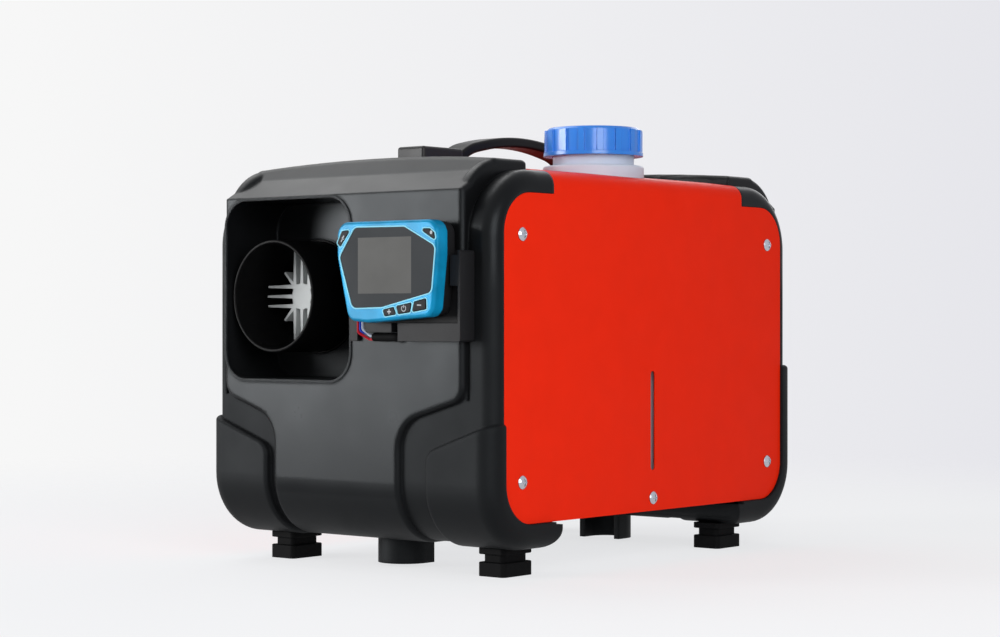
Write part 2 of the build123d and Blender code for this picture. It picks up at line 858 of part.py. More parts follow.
def cover_screws():
    screw = pan_head_screw(cover_head_diameter, cover_head_height, cover_shank_diameter, cover_shank_length)
    places = []
    for side in (-1, 1):
        for y, z in (
            (-cover_screw_y, cover_screw_low),
            (-cover_screw_y, cover_screw_high),
            (cover_screw_y, cover_screw_low),
            (cover_screw_y, cover_screw_high),
            (0, cover_screw_middle),
        ):
            places.append(Plane((side * half_width, case_y + y, z), z_dir=(side, 0, 0)))
    with BuildPart() as screws:
        with Locations(*places):
            add(screw)
    finish(screws, "cover_screws")


# ---------------------------------------------------------------- carrying handle


def handle():
    pad_z = cover_crown + seat_gap + strap_thickness / 2
    arch_centre_z = strap_top - strap_arch_radius
    arch_radius = strap_arch_radius - strap_thickness / 2
    arch_z = arch_centre_z + sqrt(arch_radius**2 - strap_arch_half**2)
    arch_slope = strap_arch_half / (arch_z - arch_centre_z)
    knee_z = arch_z - arch_slope * (strap_knee_y - strap_arch_half)
    strap_end = handle_outer_y - handle_cap_wall - 2 * seat_gap
    sides = []
    for end in (-1, 1):
        sides.append(
            [
                (case_y + end * strap_end, pad_z),
                (case_y + end * strap_heel_y, pad_z),
                (case_y + end * strap_knee_y, knee_z),
                (case_y + end * strap_arch_half, arch_z),
            ]
        )
    with BuildPart() as strap:
        with BuildLine(Plane.YZ) as path:
            FilletPolyline(*sides[0], radius=[strap_heel_radius, strap_knee_radius])
            ThreePointArc(sides[0][-1], (case_y, arch_centre_z + arch_radius), sides[1][-1])
            FilletPolyline(*reversed(sides[1]), radius=[strap_knee_radius, strap_heel_radius])
        with BuildSketch(Plane((0, sides[0][0][0], pad_z), x_dir=(1, 0, 0), z_dir=(0, 1, 0))):
            RectangleRounded(strap_width, strap_thickness, strap_thickness / 4)
        sweep(path=path.wires()[0])
        with BuildSketch(Plane.XY.offset(pad_z)):
            with Locations((0, case_y - handle_screw_y), (0, case_y + handle_screw_y)):
                Circle(cover_shank_diameter / 2 + screw_gap)
        extrude(amount=strap_thickness, both=True, mode=Mode.SUBTRACT)
    finish(strap, "handle_strap")

    cap_bottom_z = cover_crown + seat_gap
    for end, name in ((-1, "handle_cap_front"), (1, "handle_cap_rear")):
        middle = case_y + end * (handle_outer_y - handle_cap_length / 2)
        with BuildPart() as cap:
            with Locations((0, middle, cap_bottom_z)):
                Box(
                    handle_width,
                    handle_cap_length,
                    handle_cap_height,
                    align=(Align.CENTER, Align.CENTER, Align.MIN),
                )
            fillet(cap.edges().filter_by(Axis.Z), handle_cap_wall)
            fillet(cap.faces().sort_by(Axis.Z)[-1].edges(), handle_cap_wall)
            with Locations((0, middle - end * handle_cap_wall, cap_bottom_z)):
                Box(
                    handle_width - 2 * handle_cap_wall,
                    handle_cap_length,
                    handle_cap_height - handle_cap_wall,
                    align=(Align.CENTER, Align.CENTER, Align.MIN),
                    mode=Mode.SUBTRACT,
                )
        finish(cap, name)

    screw = pan_head_screw(
        handle_head_diameter, cover_head_height, cover_shank_diameter, handle_shank_length
    )
    with BuildPart() as screws:
        with Locations(
            (0, case_y - handle_screw_y, pad_z + strap_thickness / 2),
            (0, case_y + handle_screw_y, pad_z + strap_thickness / 2),
        ):
            add(screw)
    finish(screws, "handle_screws")


# ---------------------------------------------------------------- fuel tank and cap


def fuel_tank():
    height = tank_top - tank_bottom
    hollow = tank_hollow()
    with BuildPart() as tank:
        with Locations((tank_x, case_y, tank_bottom)):
            Box(tank_width, tank_length, height, align=(Align.CENTER, Align.CENTER, Align.MIN))
        fillet(tank.edges(), tank_round)
        with BuildSketch(Plane.XY.offset(tank_top - tank_wall)):
            with Locations((neck_x, case_y)):
                Circle(neck_collar_diameter / 2)
        extrude(amount=neck_collar_top - tank_top + tank_wall)
        fillet(tank.faces().sort_by(Axis.Z)[-1].edges(), neck_collar_round)
        with BuildSketch(Plane.XY.offset(neck_collar_top - overlap)):
            with Locations((neck_x, case_y)):
                Circle(neck_diameter / 2)
        extrude(amount=neck_top - neck_collar_top + overlap)
        add(hollow, mode=Mode.SUBTRACT)
        with BuildSketch(Plane.XY.offset(tank_top - tank_round)):
            with Locations((neck_x, case_y)):
                Circle(neck_diameter / 2 - neck_wall)
        extrude(amount=tank_round + neck_top - tank_top, mode=Mode.SUBTRACT)
    finish(tank, "fuel_tank")


def tank_hollow():
    with BuildPart() as hollow:
        with Locations((tank_x, case_y, (tank_bottom + tank_top) / 2)):
            Box(
                tank_width - 2 * tank_wall,
                tank_length - 2 * tank_wall,
                tank_top - tank_bottom - 2 * tank_wall,
            )
        fillet(hollow.edges(), tank_round - tank_wall)
    return hollow.part


def filler_cap():
    hollow_top = cap_top - cap_wall
    with BuildPart() as cap:
        with BuildSketch(Plane.XY.offset(cap_bottom)):
            with Locations((neck_x, case_y)):
                Circle(cap_diameter / 2)
        extrude(amount=cap_top - cap_bottom)
        chamfer(cap.faces().sort_by(Axis.Z)[-1].edges(), cap_bevel)
        with BuildSketch(Plane.XY.offset(cap_bottom)):
            with Locations((neck_x, case_y)):
                Circle(cap_rim_diameter / 2)
        extrude(amount=cap_rim_height)
        with BuildSketch(Plane.XY.offset(cap_bottom)):
            with Locations((neck_x, case_y)):
                with PolarLocations(cap_rib_diameter / 2 - cap_rib_width / 2, cap_ribs):
                    Rectangle(cap_rib_width, cap_rib_width)
        extrude(amount=cap_top - cap_bottom - cap_bevel)
        with BuildSketch(Plane.XY.offset(cap_bottom)):
            with Locations((neck_x, case_y)):
                Circle(neck_diameter / 2 + thread_gap)
        extrude(amount=hollow_top - cap_bottom, mode=Mode.SUBTRACT)
    finish(cap, "filler_cap")
    with BuildPart() as seal:
        with BuildSketch(Plane.XY.offset(neck_top + seat_gap)):
            with Locations((neck_x, case_y)):
                Circle(neck_diameter / 2)
                Circle(neck_diameter / 2 - 2 * neck_wall, mode=Mode.SUBTRACT)
        extrude(amount=cap_seal_thickness)
    finish(seal, "cap_seal")


def tank_fittings():
    left = tank_x - tank_width / 2
    with BuildPart() as outlet:
        with BuildSketch(Plane.YZ.offset(left)):
            with Locations((case_y + tank_outlet_y, line_z)):
                RegularPolygon(hose_diameter, 6)
        extrude(amount=-outlet_nut)
        with BuildSketch(Plane.YZ.offset(left - outlet_nut)):
            with Locations((case_y + tank_outlet_y, line_z)):
                Circle(nipple_diameter / 2)
        extrude(amount=-nipple_length)
    finish(outlet, "tank_outlet")
    with BuildPart() as pads:
        with BuildSketch(Plane.XY.offset(pan_top)):
            with Locations((tank_x, case_y - tank_length / 3), (tank_x, case_y + tank_length / 3)):
                Rectangle(tank_width - 2 * tank_round, tank_round * 1.5)
        extrude(amount=tank_bottom - pan_top)
    finish(pads, "tank_pads")


# ---------------------------------------------------------------- heater unit


def outlet_collar():
    rim = front_face + collar_set_back
    shoulder = front_face + collar_shoulder
    with BuildPart() as collar:
        with BuildSketch(Plane.XZ.offset(-rim)):
            with Locations((outlet_x, outlet_z)):
                Circle(collar_diameter / 2)
        extrude(amount=rim - shoulder)
        with BuildSketch(Plane.XZ.offset(-shoulder)):
            with Locations((outlet_x, outlet_z)):
                Circle(collar_diameter / 2 + collar_step)
        extrude(amount=shoulder - heater_y)
        with BuildSketch(Plane.XZ.offset(-heater_y)):
            with Locations((outlet_x, outlet_z)):
                Circle(collar_flange / 2)
        extrude(amount=recess_wall)
        with BuildSketch(Plane.XZ.offset(-rim)):
            with Locations((outlet_x, outlet_z)):
                Circle(collar_diameter / 2 - collar_wall)
        extrude(amount=rim - heater_y, mode=Mode.SUBTRACT)
        fillet(collar.faces().filter_by(Axis.Y).sort_by(Axis.Y)[0].edges(), collar_wall * 0.4)
    finish(collar, "outlet_collar")


def heater_case(half, name):
    """Half of the heater's moulded case: half is 1 for the upper and -1 for the lower one."""
    centre = (outlet_x, outlet_z)
    with BuildPart() as case:
        with BuildSketch(Plane.XZ.offset(-heater_y)):
            with Locations(centre):
                RectangleRounded(heater_width, heater_height, heater_corner)
        extrude(amount=-heater_length)
        with BuildSketch(Plane.XZ.offset(-heater_y - heater_wall)):
            with Locations(centre):
                RectangleRounded(
                    heater_width - 2 * heater_wall,
                    heater_height - 2 * heater_wall,
                    heater_corner - heater_wall,
                )
        extrude(amount=2 * heater_wall - heater_length, mode=Mode.SUBTRACT)
        with BuildSketch(Plane.XZ.offset(-heater_y)):
            with Locations(centre):
                Circle(collar_diameter / 2 - collar_wall)
        extrude(amount=-heater_length / 2, mode=Mode.SUBTRACT)
        with BuildSketch(Plane.XZ.offset(-heater_y - heater_length / 2)):
            with Locations(centre):
                Circle(main_fan_radius + fan_tip_gap)
        extrude(amount=-heater_length / 2, mode=Mode.SUBTRACT)
        split(bisect_by=Plane.XY.offset(outlet_z), keep=Keep.TOP if half > 0 else Keep.BOTTOM)
        if half < 0:
            with BuildSketch(Plane.XY.offset(heater_bottom)):
                with Locations((outlet_x, exhaust_y), (outlet_x, intake_y)):
                    Circle(port_radius + seat_gap)
                with Locations((fuel_pipe_x, case_y + fuel_pipe_y)):
                    Circle(nipple_diameter / 2 + seat_gap)
            extrude(amount=heater_corner, mode=Mode.SUBTRACT)
    finish(case, name)


def star_ribs():
    """Front view of the cast star: three parallel ribs a side and one on each diagonal."""
    with BuildSketch() as star:
        Circle(star_hub_radius)
        for turn in range(4):
            ribs = [(step * rib_spacing, turn * 90, star_radius) for step in (-1, 0, 1)]
            ribs.append((0, turn * 90 + 45, diagonal_reach))
            for across, angle, radius in ribs:
                length = sqrt(radius**2 - across**2)
                with BuildLine(Plane.XY.rotated((0, 0, angle))):
                    Polyline(
                        (0, across - rib_root / 2),
                        (length, across - rib_tip / 2),
                        (length, across + rib_tip / 2),
                        (0, across + rib_root / 2),
                        close=True,
                    )
                make_face()
    return star.sketch


def heat_exchanger():
    star = star_ribs()
    star_y = front_face + collar_set_back + star_set_back
    body_y = heater_y + 2 * heater_wall
    fin_y = body_y + 2 * heater_wall
    fin_height = exchanger_fin_radius - exchanger_radius + overlap
    with BuildPart() as exchanger:
        with BuildSketch(Plane.XZ.offset(-body_y)):
            with Locations((outlet_x, outlet_z)):
                Circle(exchanger_radius)
        extrude(amount=body_y - burner_y)
        with BuildSketch(Plane.XZ.offset(-fin_y)):
            with Locations((outlet_x, outlet_z)):
                with PolarLocations(exchanger_fin_radius - fin_height / 2, exchanger_fins):
                    Rectangle(fin_height, exchanger_fin_thickness)
        extrude(amount=fin_y - burner_y + burner_flange)
        # star of ribs on the closed front end, seen through the collar
        with BuildSketch(Plane.XZ.offset(-star_y)):
            with Locations((outlet_x, outlet_z)):
                add(star)
        extrude(amount=star_y - body_y)
        with BuildSketch(Plane.XY.offset(heater_bottom)):
            with Locations((outlet_x, exhaust_y)):
                Circle(port_radius)
        extrude(amount=outlet_z - heater_bottom)
        with BuildSketch(Plane.XZ.offset(-burner_y)):
            with Locations((outlet_x, outlet_z)):
                Circle(burner_tube_radius + burner_space)
        extrude(amount=burner_tube_length + burner_space, mode=Mode.SUBTRACT)
        with BuildSketch(Plane.XY.offset(heater_bottom)):
            with Locations((outlet_x, exhaust_y)):
                Circle(exhaust_diameter / 2 - pipe_wall)
        extrude(amount=outlet_z - heater_bottom, mode=Mode.SUBTRACT)
        with BuildSketch(Plane.XY.offset(heater_bottom)):
            with Locations((outlet_x, exhaust_y)):
                Circle(exhaust_diameter / 2 + pipe_step + nipple_gap)
        extrude(amount=port_height, mode=Mode.SUBTRACT)
    finish(exchanger, "heat_exchanger")


def burner():
    """Flange with the combustion tube, and the steel pipe that brings the fuel down to the hose."""
    pipe_y = burner_y + burner_flange / 2
    pipe_top = outlet_z - sqrt(burner_flange_radius**2 - (fuel_pipe_x - outlet_x) ** 2) + nipple_diameter
    with BuildPart() as unit:
        with BuildSketch(Plane.XZ.offset(-burner_y)):
            with Locations((outlet_x, outlet_z)):
                Circle(burner_flange_radius)
        extrude(amount=-burner_flange)
        with BuildSketch(Plane.XZ.offset(-burner_y)):
            with Locations((outlet_x, outlet_z)):
                Circle(burner_tube_radius)
        extrude(amount=burner_tube_length)
        with BuildSketch(Plane.XZ.offset(-burner_y)):
            with Locations((outlet_x, outlet_z)):
                Circle(burner_tube_radius - burner_tube_wall)
        extrude(amount=burner_tube_length, mode=Mode.SUBTRACT)
        with BuildSketch(Plane.XY.offset(outlet_z + burner_flange_radius)):
            with Locations((outlet_x, pipe_y)):
                Circle(plug_diameter / 2 + nipple_gap)
        extrude(amount=-plug_depth - seat_gap, mode=Mode.SUBTRACT)
        with BuildLine() as path:
            FilletPolyline(
                (fuel_pipe_x, pipe_y, pipe_top),
                (fuel_pipe_x, pipe_y, fuel_pipe_level),
                (fuel_pipe_x, case_y + fuel_pipe_y, fuel_pipe_level),
                (fuel_pipe_x, case_y + fuel_pipe_y, fuel_pipe_end),
                radius=fuel_pipe_bend,
            )
        with BuildSketch(Plane((fuel_pipe_x, pipe_y, pipe_top), z_dir=(0, 0, -1))):
            Circle(nipple_diameter / 2)
        sweep(path=path.wires()[0])
    finish(unit, "burner")
    with BuildPart() as plug:
        with BuildSketch(Plane.XY.offset(outlet_z + burner_flange_radius)):
            with Locations((outlet_x, pipe_y)):
                RegularPolygon(plug_hex, 6)
        extrude(amount=plug_head)
        with BuildSketch(Plane.XY.offset(outlet_z + burner_flange_radius)):
            with Locations((outlet_x, pipe_y)):
                Circle(plug_diameter / 2)
        extrude(amount=-plug_depth)
    finish(plug, "glow_plug")


def fan_housing():
    cavity_radius = wheel_radius + 2 * fan_tip_gap
    cavity_depth = wheel_width + 2 * rotor_end_gap
    with BuildPart() as housing:
        with BuildSketch(Plane.XZ.offset(-housing_y)):
            with Locations((outlet_x, outlet_z)):
                Circle(housing_radius)
        extrude(amount=-housing_length)
        with BuildSketch(Plane.XY.offset(heater_bottom)):
            with Locations((outlet_x, intake_y)):
                Circle(port_radius)
        extrude(amount=outlet_z - heater_bottom)
        # chamber of the combustion-air wheel, with the air's way in from below
        with BuildSketch(Plane.XZ.offset(-intake_y - cavity_depth / 2)):
            with Locations((outlet_x, outlet_z)):
                Circle(cavity_radius)
        extrude(amount=cavity_depth, mode=Mode.SUBTRACT)
        with BuildSketch(Plane.XZ.offset(-intake_y)):
            with Locations((outlet_x, outlet_z)):
                Circle(shaft_radius + fan_tip_gap)
        extrude(amount=-housing_length, mode=Mode.SUBTRACT)
        with BuildSketch(Plane.XY.offset(heater_bottom)):
            with Locations((outlet_x, intake_y)):
                Circle(cavity_depth / 2 - burner_tube_wall)
        extrude(amount=outlet_z - heater_bottom, mode=Mode.SUBTRACT)
        with BuildSketch(Plane.XY.offset(heater_bottom)):
            with Locations((outlet_x, intake_y)):
                Circle(intake_diameter / 2 + pipe_step + nipple_gap)
        extrude(amount=port_height, mode=Mode.SUBTRACT)
    finish(housing, "fan_housing")


def fan_motor():
    shaft_start = intake_y - wheel_width / 2
    shaft_length = main_fan_y + main_fan_width - shaft_start
    with BuildPart() as motor:
        with BuildSketch(Plane.XZ.offset(-motor_y)):
            with Locations((outlet_x, outlet_z)):
                Circle(motor_radius)
        extrude(amount=-motor_length)
        chamfer(motor.faces().sort_by(Axis.Y)[-1].edges(), rotor_end_gap)
        with BuildSketch(Plane.XZ.offset(-motor_y)):
            with Locations((outlet_x, outlet_z)):
                Circle(shaft_radius + shaft_running_gap)
        extrude(amount=-motor_length, mode=Mode.SUBTRACT)
    finish(motor, "fan_motor")
    with BuildPart() as shaft:
        with BuildSketch(Plane.XZ.offset(-shaft_start)):
            with Locations((outlet_x, outlet_z)):
                Circle(shaft_radius)
        extrude(amount=-shaft_length)
    finish(shaft, "motor_shaft")


def bladed_wheel(front, width, radius, plate, blades, sweep_angle, name):
    """A back-curved wheel on the motor's shaft, with its plate on the front."""
    rise = radius - hub_radius
    with BuildSketch() as blade:
        with BuildLine():
            ThreePointArc(
                (hub_radius - overlap, 0),
                (hub_radius + rise / 2, rise * tan(radians(sweep_angle)) / 4),
                (radius * cos(radians(sweep_angle)), radius * sin(radians(sweep_angle))),
            )
        trace(line_width=blade_thickness)
    with BuildSketch() as blade_set:
        for turn in range(blades):
            add(blade.sketch, rotation=turn * 360 / blades)
        Circle(radius, mode=Mode.INTERSECT)
    with BuildPart() as wheel:
        with BuildSketch(Plane.XZ.offset(-front)):
            with Locations((outlet_x, outlet_z)):
                Circle(hub_radius)
                add(blade_set.sketch)
        extrude(amount=-width)
        with BuildSketch(Plane.XZ.offset(-front)):
            with Locations((outlet_x, outlet_z)):
                Circle(radius)
        extrude(amount=-plate)
        with BuildSketch(Plane.XZ.offset(-front)):
            with Locations((outlet_x, outlet_z)):
                Circle(shaft_radius + shaft_running_gap)
        extrude(amount=-width, mode=Mode.SUBTRACT)
    finish(wheel, name)


def pipes():
    pipe_top = heater_bottom + port_height / 2
    end_top = pipe_drop + pipe_end_length
    for place, diameter, name in (
        (exhaust_y, exhaust_diameter, "exhaust_pipe"),
        (intake_y, intake_diameter, "intake_pipe"),
    ):
        with BuildPart() as pipe:
            with BuildSketch(Plane.XY.offset(pipe_drop)):
                with Locations((outlet_x, place)):
                    Circle(diameter / 2)
            extrude(amount=pipe_end_length)
            with BuildSketch(Plane.XY.offset(end_top)):
                with Locations((outlet_x, place)):
                    Circle(diameter / 2 + pipe_step)
            extrude(amount=pipe_top - end_top)
            with BuildSketch(Plane.XY.offset(pipe_drop)):
                with Locations((outlet_x, place)):
                    Circle(diameter / 2 - pipe_wall)
            extrude(amount=pipe_top - pipe_drop, mode=Mode.SUBTRACT)
        finish(pipe, name)


def pipe_holes(gap):
    """Holes that let the upper, wider part of both pipes through."""
    with BuildSketch() as holes:
        with Locations((outlet_x, exhaust_y)):
            Circle(exhaust_diameter / 2 + pipe_step + gap)
        with Locations((outlet_x, intake_y)):
            Circle(intake_diameter / 2 + pipe_step + gap)
    return holes.sketch


def heater_mounting():
    holes = pipe_holes(seat_gap)
    middle_y = (exhaust_y + intake_y) / 2
    gasket_length = intake_y - exhaust_y + 2 * (port_radius + gasket_margin)
    with BuildPart() as gasket:
        with BuildSketch(Plane.XY.offset(stand_top)):
            with Locations((outlet_x, middle_y)):
                RectangleRounded(gasket_width, gasket_length, gasket_margin)
            add(holes, mode=Mode.SUBTRACT)
        extrude(amount=gasket_thickness)
    finish(gasket, "flange_gasket")

    leg_x = stand_width / 2 - stand_thickness / 2
    with BuildPart() as stand:
        with BuildSketch(Plane.XY.offset(stand_top)):
            with Locations((outlet_x, middle_y)):
                Rectangle(stand_width, stand_length)
            add(holes, mode=Mode.SUBTRACT)
        extrude(amount=-stand_thickness)
        with BuildSketch(Plane.XY.offset(pan_top)):
            with Locations((outlet_x - leg_x, middle_y), (outlet_x + leg_x, middle_y)):
                Rectangle(stand_thickness, stand_length)
        extrude(amount=stand_top - pan_top)
        with BuildSketch(Plane.XY.offset(pan_top)):
            with Locations(
                (outlet_x - stand_width / 2 + stand_foot / 2, middle_y),
                (outlet_x + stand_width / 2 - stand_foot / 2, middle_y),
            ):
                Rectangle(stand_foot, stand_length)
        extrude(amount=stand_thickness)
    finish(stand, "heater_stand")


def electrics():
    with BuildPart() as control:
        with BuildSketch(Plane.XY.offset(pan_top)):
            with Locations((control_x, front_face + control_depth + control_length / 2)):
                Rectangle(control_width, control_length)
        extrude(amount=control_height)
        fillet(control.edges().filter_by(Axis.Z), housing_wall)
        fillet(control.faces().sort_by(Axis.Z)[-1].edges(), housing_wall / 2)
    finish(control, "control_unit")
    sensor_y = exhaust_y - port_radius
    with BuildPart() as sensor:
        with BuildSketch(Plane.XY.offset(outlet_z + exchanger_fin_radius)):
            with Locations((outlet_x, sensor_y)):
                Rectangle(sensor_width, sensor_length)
        extrude(amount=sensor_height)
        fillet(sensor.edges().filter_by(Axis.Z), housing_wall)
    finish(sensor, "overheat_sensor")


# ---------------------------------------------------------------- fuel line


def line_piece(start, body, nose, diameter, name):
    """A turned body on the fuel line with a hose nipple at each end."""
    first = case_y + start
    with BuildPart() as piece:
        with BuildSketch(Plane.XZ.offset(-first)):
            with Locations((line_x, line_z)):
                Circle(diameter / 2)
        extrude(amount=-body)
        chamfer(piece.faces().filter_by(Axis.Y).edges(), length=nose / 2)
        with BuildSketch(Plane.XZ.offset(nipple_length - first)):
            with Locations((line_x, line_z)):
                Circle(nipple_diameter / 2)
        extrude(amount=-body - 2 * nipple_length)
    finish(piece, name)


def hose(points, radii, name):
    with BuildPart() as tube:
        with BuildLine() as path:
            FilletPolyline(*points, radius=radii)
        start = Vector(*points[0])
        with BuildSketch(Plane(start, z_dir=Vector(*points[1]) - start)):
            Circle(hose_diameter / 2)
            Circle(nipple_diameter / 2 + nipple_gap, mode=Mode.SUBTRACT)
        sweep(path=path.wires()[0])
    finish(tube, name)


def fuel_line():
    nut_x = tank_x - tank_width / 2 - outlet_nut
    outlet_y = case_y + tank_outlet_y
    filter_end = filter_start + filter_body
    pump_end = pump_start + pump_body
    rise_y = case_y + fuel_pipe_y
    hose(
        [(nut_x, outlet_y, line_z), (line_x, outlet_y, line_z), (line_x, case_y + filter_start, line_z)],
        hose_bend,
        "hose_tank",
    )
    with BuildPart() as straight:
        with BuildSketch(Plane.XZ.offset(-case_y - filter_end)):
            with Locations((line_x, line_z)):
                Circle(hose_diameter / 2)
                Circle(nipple_diameter / 2 + nipple_gap, mode=Mode.SUBTRACT)
        extrude(amount=filter_end - pump_start)
    finish(straight, "hose_filter")
    hose(
        [
            (line_x, case_y + pump_end, line_z),
            (line_x, rise_y - hose_rise, line_z),
            (fuel_pipe_x, rise_y, line_z + hose_rise),
            (fuel_pipe_x, rise_y, fuel_pipe_end + nipple_length),
        ],
        hose_rise_bend,
        "hose_heater",
    )
    line_piece(filter_start, filter_body, filter_nose, filter_diameter, "fuel_filter")
    line_piece(pump_start, pump_body, pump_nose, pump_diameter, "fuel_pump")

    clamp_y = case_y + pump_start + pump_body / 2
    clamp_inner = pump_diameter / 2 + seat_gap
    clamp_outer = clamp_inner + clamp_thickness
    with BuildPart() as clamp:
        with BuildSketch(Plane.XZ.offset(-clamp_y)):
            with Locations((line_x, line_z)):
                Circle(clamp_outer)
            with Locations((line_x, (pan_top + line_z) / 2)):
                Rectangle(clamp_outer, line_z - pan_top)
            with Locations((line_x, pan_top + clamp_thickness / 2)):
                Rectangle(clamp_foot, clamp_thickness)
            with Locations((line_x, line_z)):
                Circle(clamp_inner, mode=Mode.SUBTRACT)
        extrude(amount=clamp_width / 2, both=True)
    finish(clamp, "pump_clamp")


# ---------------------------------------------------------------- remote controller


def rounded_outline(corners, inset=0.0):
    """Closed outline with a radius at each corner: corners are (x, z, radius)."""
    with BuildSketch() as outline:
        with BuildLine():
            Polyline(*[(x, z) for x, z, _ in corners], close=True)
        make_face()
        for x, z, radius in corners:
            fillet(outline.vertices().sort_by_distance((x, z))[0], radius)
        if inset:
            offset(amount=-inset, mode=Mode.REPLACE)
    return outline.sketch


bezel_corners = [
    (14.3, 225.0, 9.0),
    (99.0, 225.0, 9.0),
    (99.0, 203.0, 40.0),
    (94.8, 165.2, 8.0),
    (40.0, 161.2, 10.0),
    (24.0, 162.5, 8.0),
    (14.3, 203.0, 30.0),
]
lens_corners = [
    (17.0, 203.0, 4.0),
    (30.0, 221.2, 5.0),
    (72.0, 220.8, 5.0),
    (97.0, 208.5, 4.0),
    (94.0, 180.0, 4.0),
    (53.0, 171.0, 5.0),
    (28.0, 170.4, 5.0),
]
button_corners = {
    "button_settings": [(15.4, 211.7), (19.2, 219.0), (26.0, 219.6), (17.8, 209.6)],
    "button_mode": [(85.0, 219.2), (92.9, 219.0), (96.6, 216.5), (97.4, 212.2)],
    "button_plus": [(54.2, 169.2), (63.1, 170.8), (65.1, 166.5), (55.8, 165.4)],
    "button_power": [(65.5, 171.4), (78.1, 173.6), (76.7, 167.9), (67.1, 166.7)],
    "button_minus": [(80.2, 174.1), (89.8, 176.1), (90.2, 169.8), (78.7, 168.1)],
}


def button_outline(name, gap):
    corners = [(x, z, button_round) for x, z in button_corners[name]]
    return rounded_outline(corners, -gap)


def controller_bezel():
    outline = rounded_outline(bezel_corners)
    inner = rounded_outline(bezel_corners, bezel_wall)
    lens_pocket = rounded_outline(lens_corners, -seat_gap / 2)
    lens_window = rounded_outline(lens_corners, lens_ledge)
    button_holes = [button_outline(name, button_gap) for name in button_corners]
    with BuildPart() as bezel:
        with BuildSketch(Plane.XZ.offset(-bezel_y)):
            add(outline)
        extrude(amount=-bezel_depth)
        fillet(bezel.faces().sort_by(Axis.Y)[0].edges(), bezel_round)
        with BuildSketch(Plane.XZ.offset(-bezel_y - bezel_front)):
            add(inner)
        extrude(amount=bezel_front - bezel_depth, mode=Mode.SUBTRACT)
        with BuildSketch(Plane.XZ.offset(-bezel_y)):
            add(lens_pocket)
        extrude(amount=-lens_sink - lens_thickness, mode=Mode.SUBTRACT)
        with BuildSketch(Plane.XZ.offset(-bezel_y)):
            add(lens_window)
            for hole in button_holes:
                add(hole)
        extrude(amount=-bezel_depth, mode=Mode.SUBTRACT)
    finish(bezel, "controller_bezel")


def controller_inside():
    lens = rounded_outline(lens_corners)
    lens_y = bezel_y + lens_sink
    display_y = lens_y + lens_thickness
    board_y = controller_joint_y - board_depth
    with BuildPart() as glass:
        with BuildSketch(Plane.XZ.offset(-lens_y)):
            add(lens)
        extrude(amount=-lens_thickness)
    finish(glass, "controller_lens")
    with BuildPart() as display:
        with BuildSketch(Plane.XZ.offset(-display_y)):
            with Locations(((display_left + display_right) / 2, (display_low + display_high) / 2)):
                Rectangle(display_right - display_left, display_high - display_low)
        extrude(amount=-display_thickness)
    finish(display, "controller_display")
    board_outline = rounded_outline(bezel_corners, board_inset)
    with BuildPart() as board:
        with BuildSketch(Plane.XZ.offset(-board_y)):
            add(board_outline)
        extrude(amount=-board_thickness)
    finish(board, "controller_board")
    for name in button_corners:
        cap = button_outline(name, 0)
        with BuildPart() as button:
            with BuildSketch(Plane.XZ.offset(button_proud - bezel_y)):
                add(cap)
            extrude(amount=bezel_y - button_proud - board_y + button_travel + seat_gap)
            fillet(button.faces().sort_by(Axis.Y)[0].edges(), button_proud / 2)
        finish(button, name)


def controller_housing():
    outline = rounded_outline(bezel_corners, housing_inset)
    inner = rounded_outline(bezel_corners, housing_inset + housing_wall)
    board_back = controller_joint_y - board_depth + board_thickness
    floor_y = controller_joint_y + housing_depth - housing_wall
    posts = [
        (display_left - 2 * housing_wall, display_high),
        (display_right + 2 * housing_wall, display_high),
        (display_left - housing_wall, display_low - 2 * housing_wall),
        (display_right + 2 * housing_wall, display_low - housing_wall),
    ]
    with BuildPart() as housing:
        with BuildSketch(Plane.XZ.offset(-controller_joint_y)):
            add(outline)
        extrude(amount=-housing_depth)
        fillet(housing.faces().sort_by(Axis.Y)[-1].edges(), bezel_round)
        with BuildSketch(Plane.XZ.offset(-controller_joint_y)):
            add(inner)
        extrude(amount=controller_joint_y - floor_y, mode=Mode.SUBTRACT)
        with BuildSketch(Plane.XZ.offset(-board_back)):
            with Locations(*posts):
                Circle(housing_wall)
        extrude(amount=board_back - floor_y)
    finish(housing, "controller_housing")


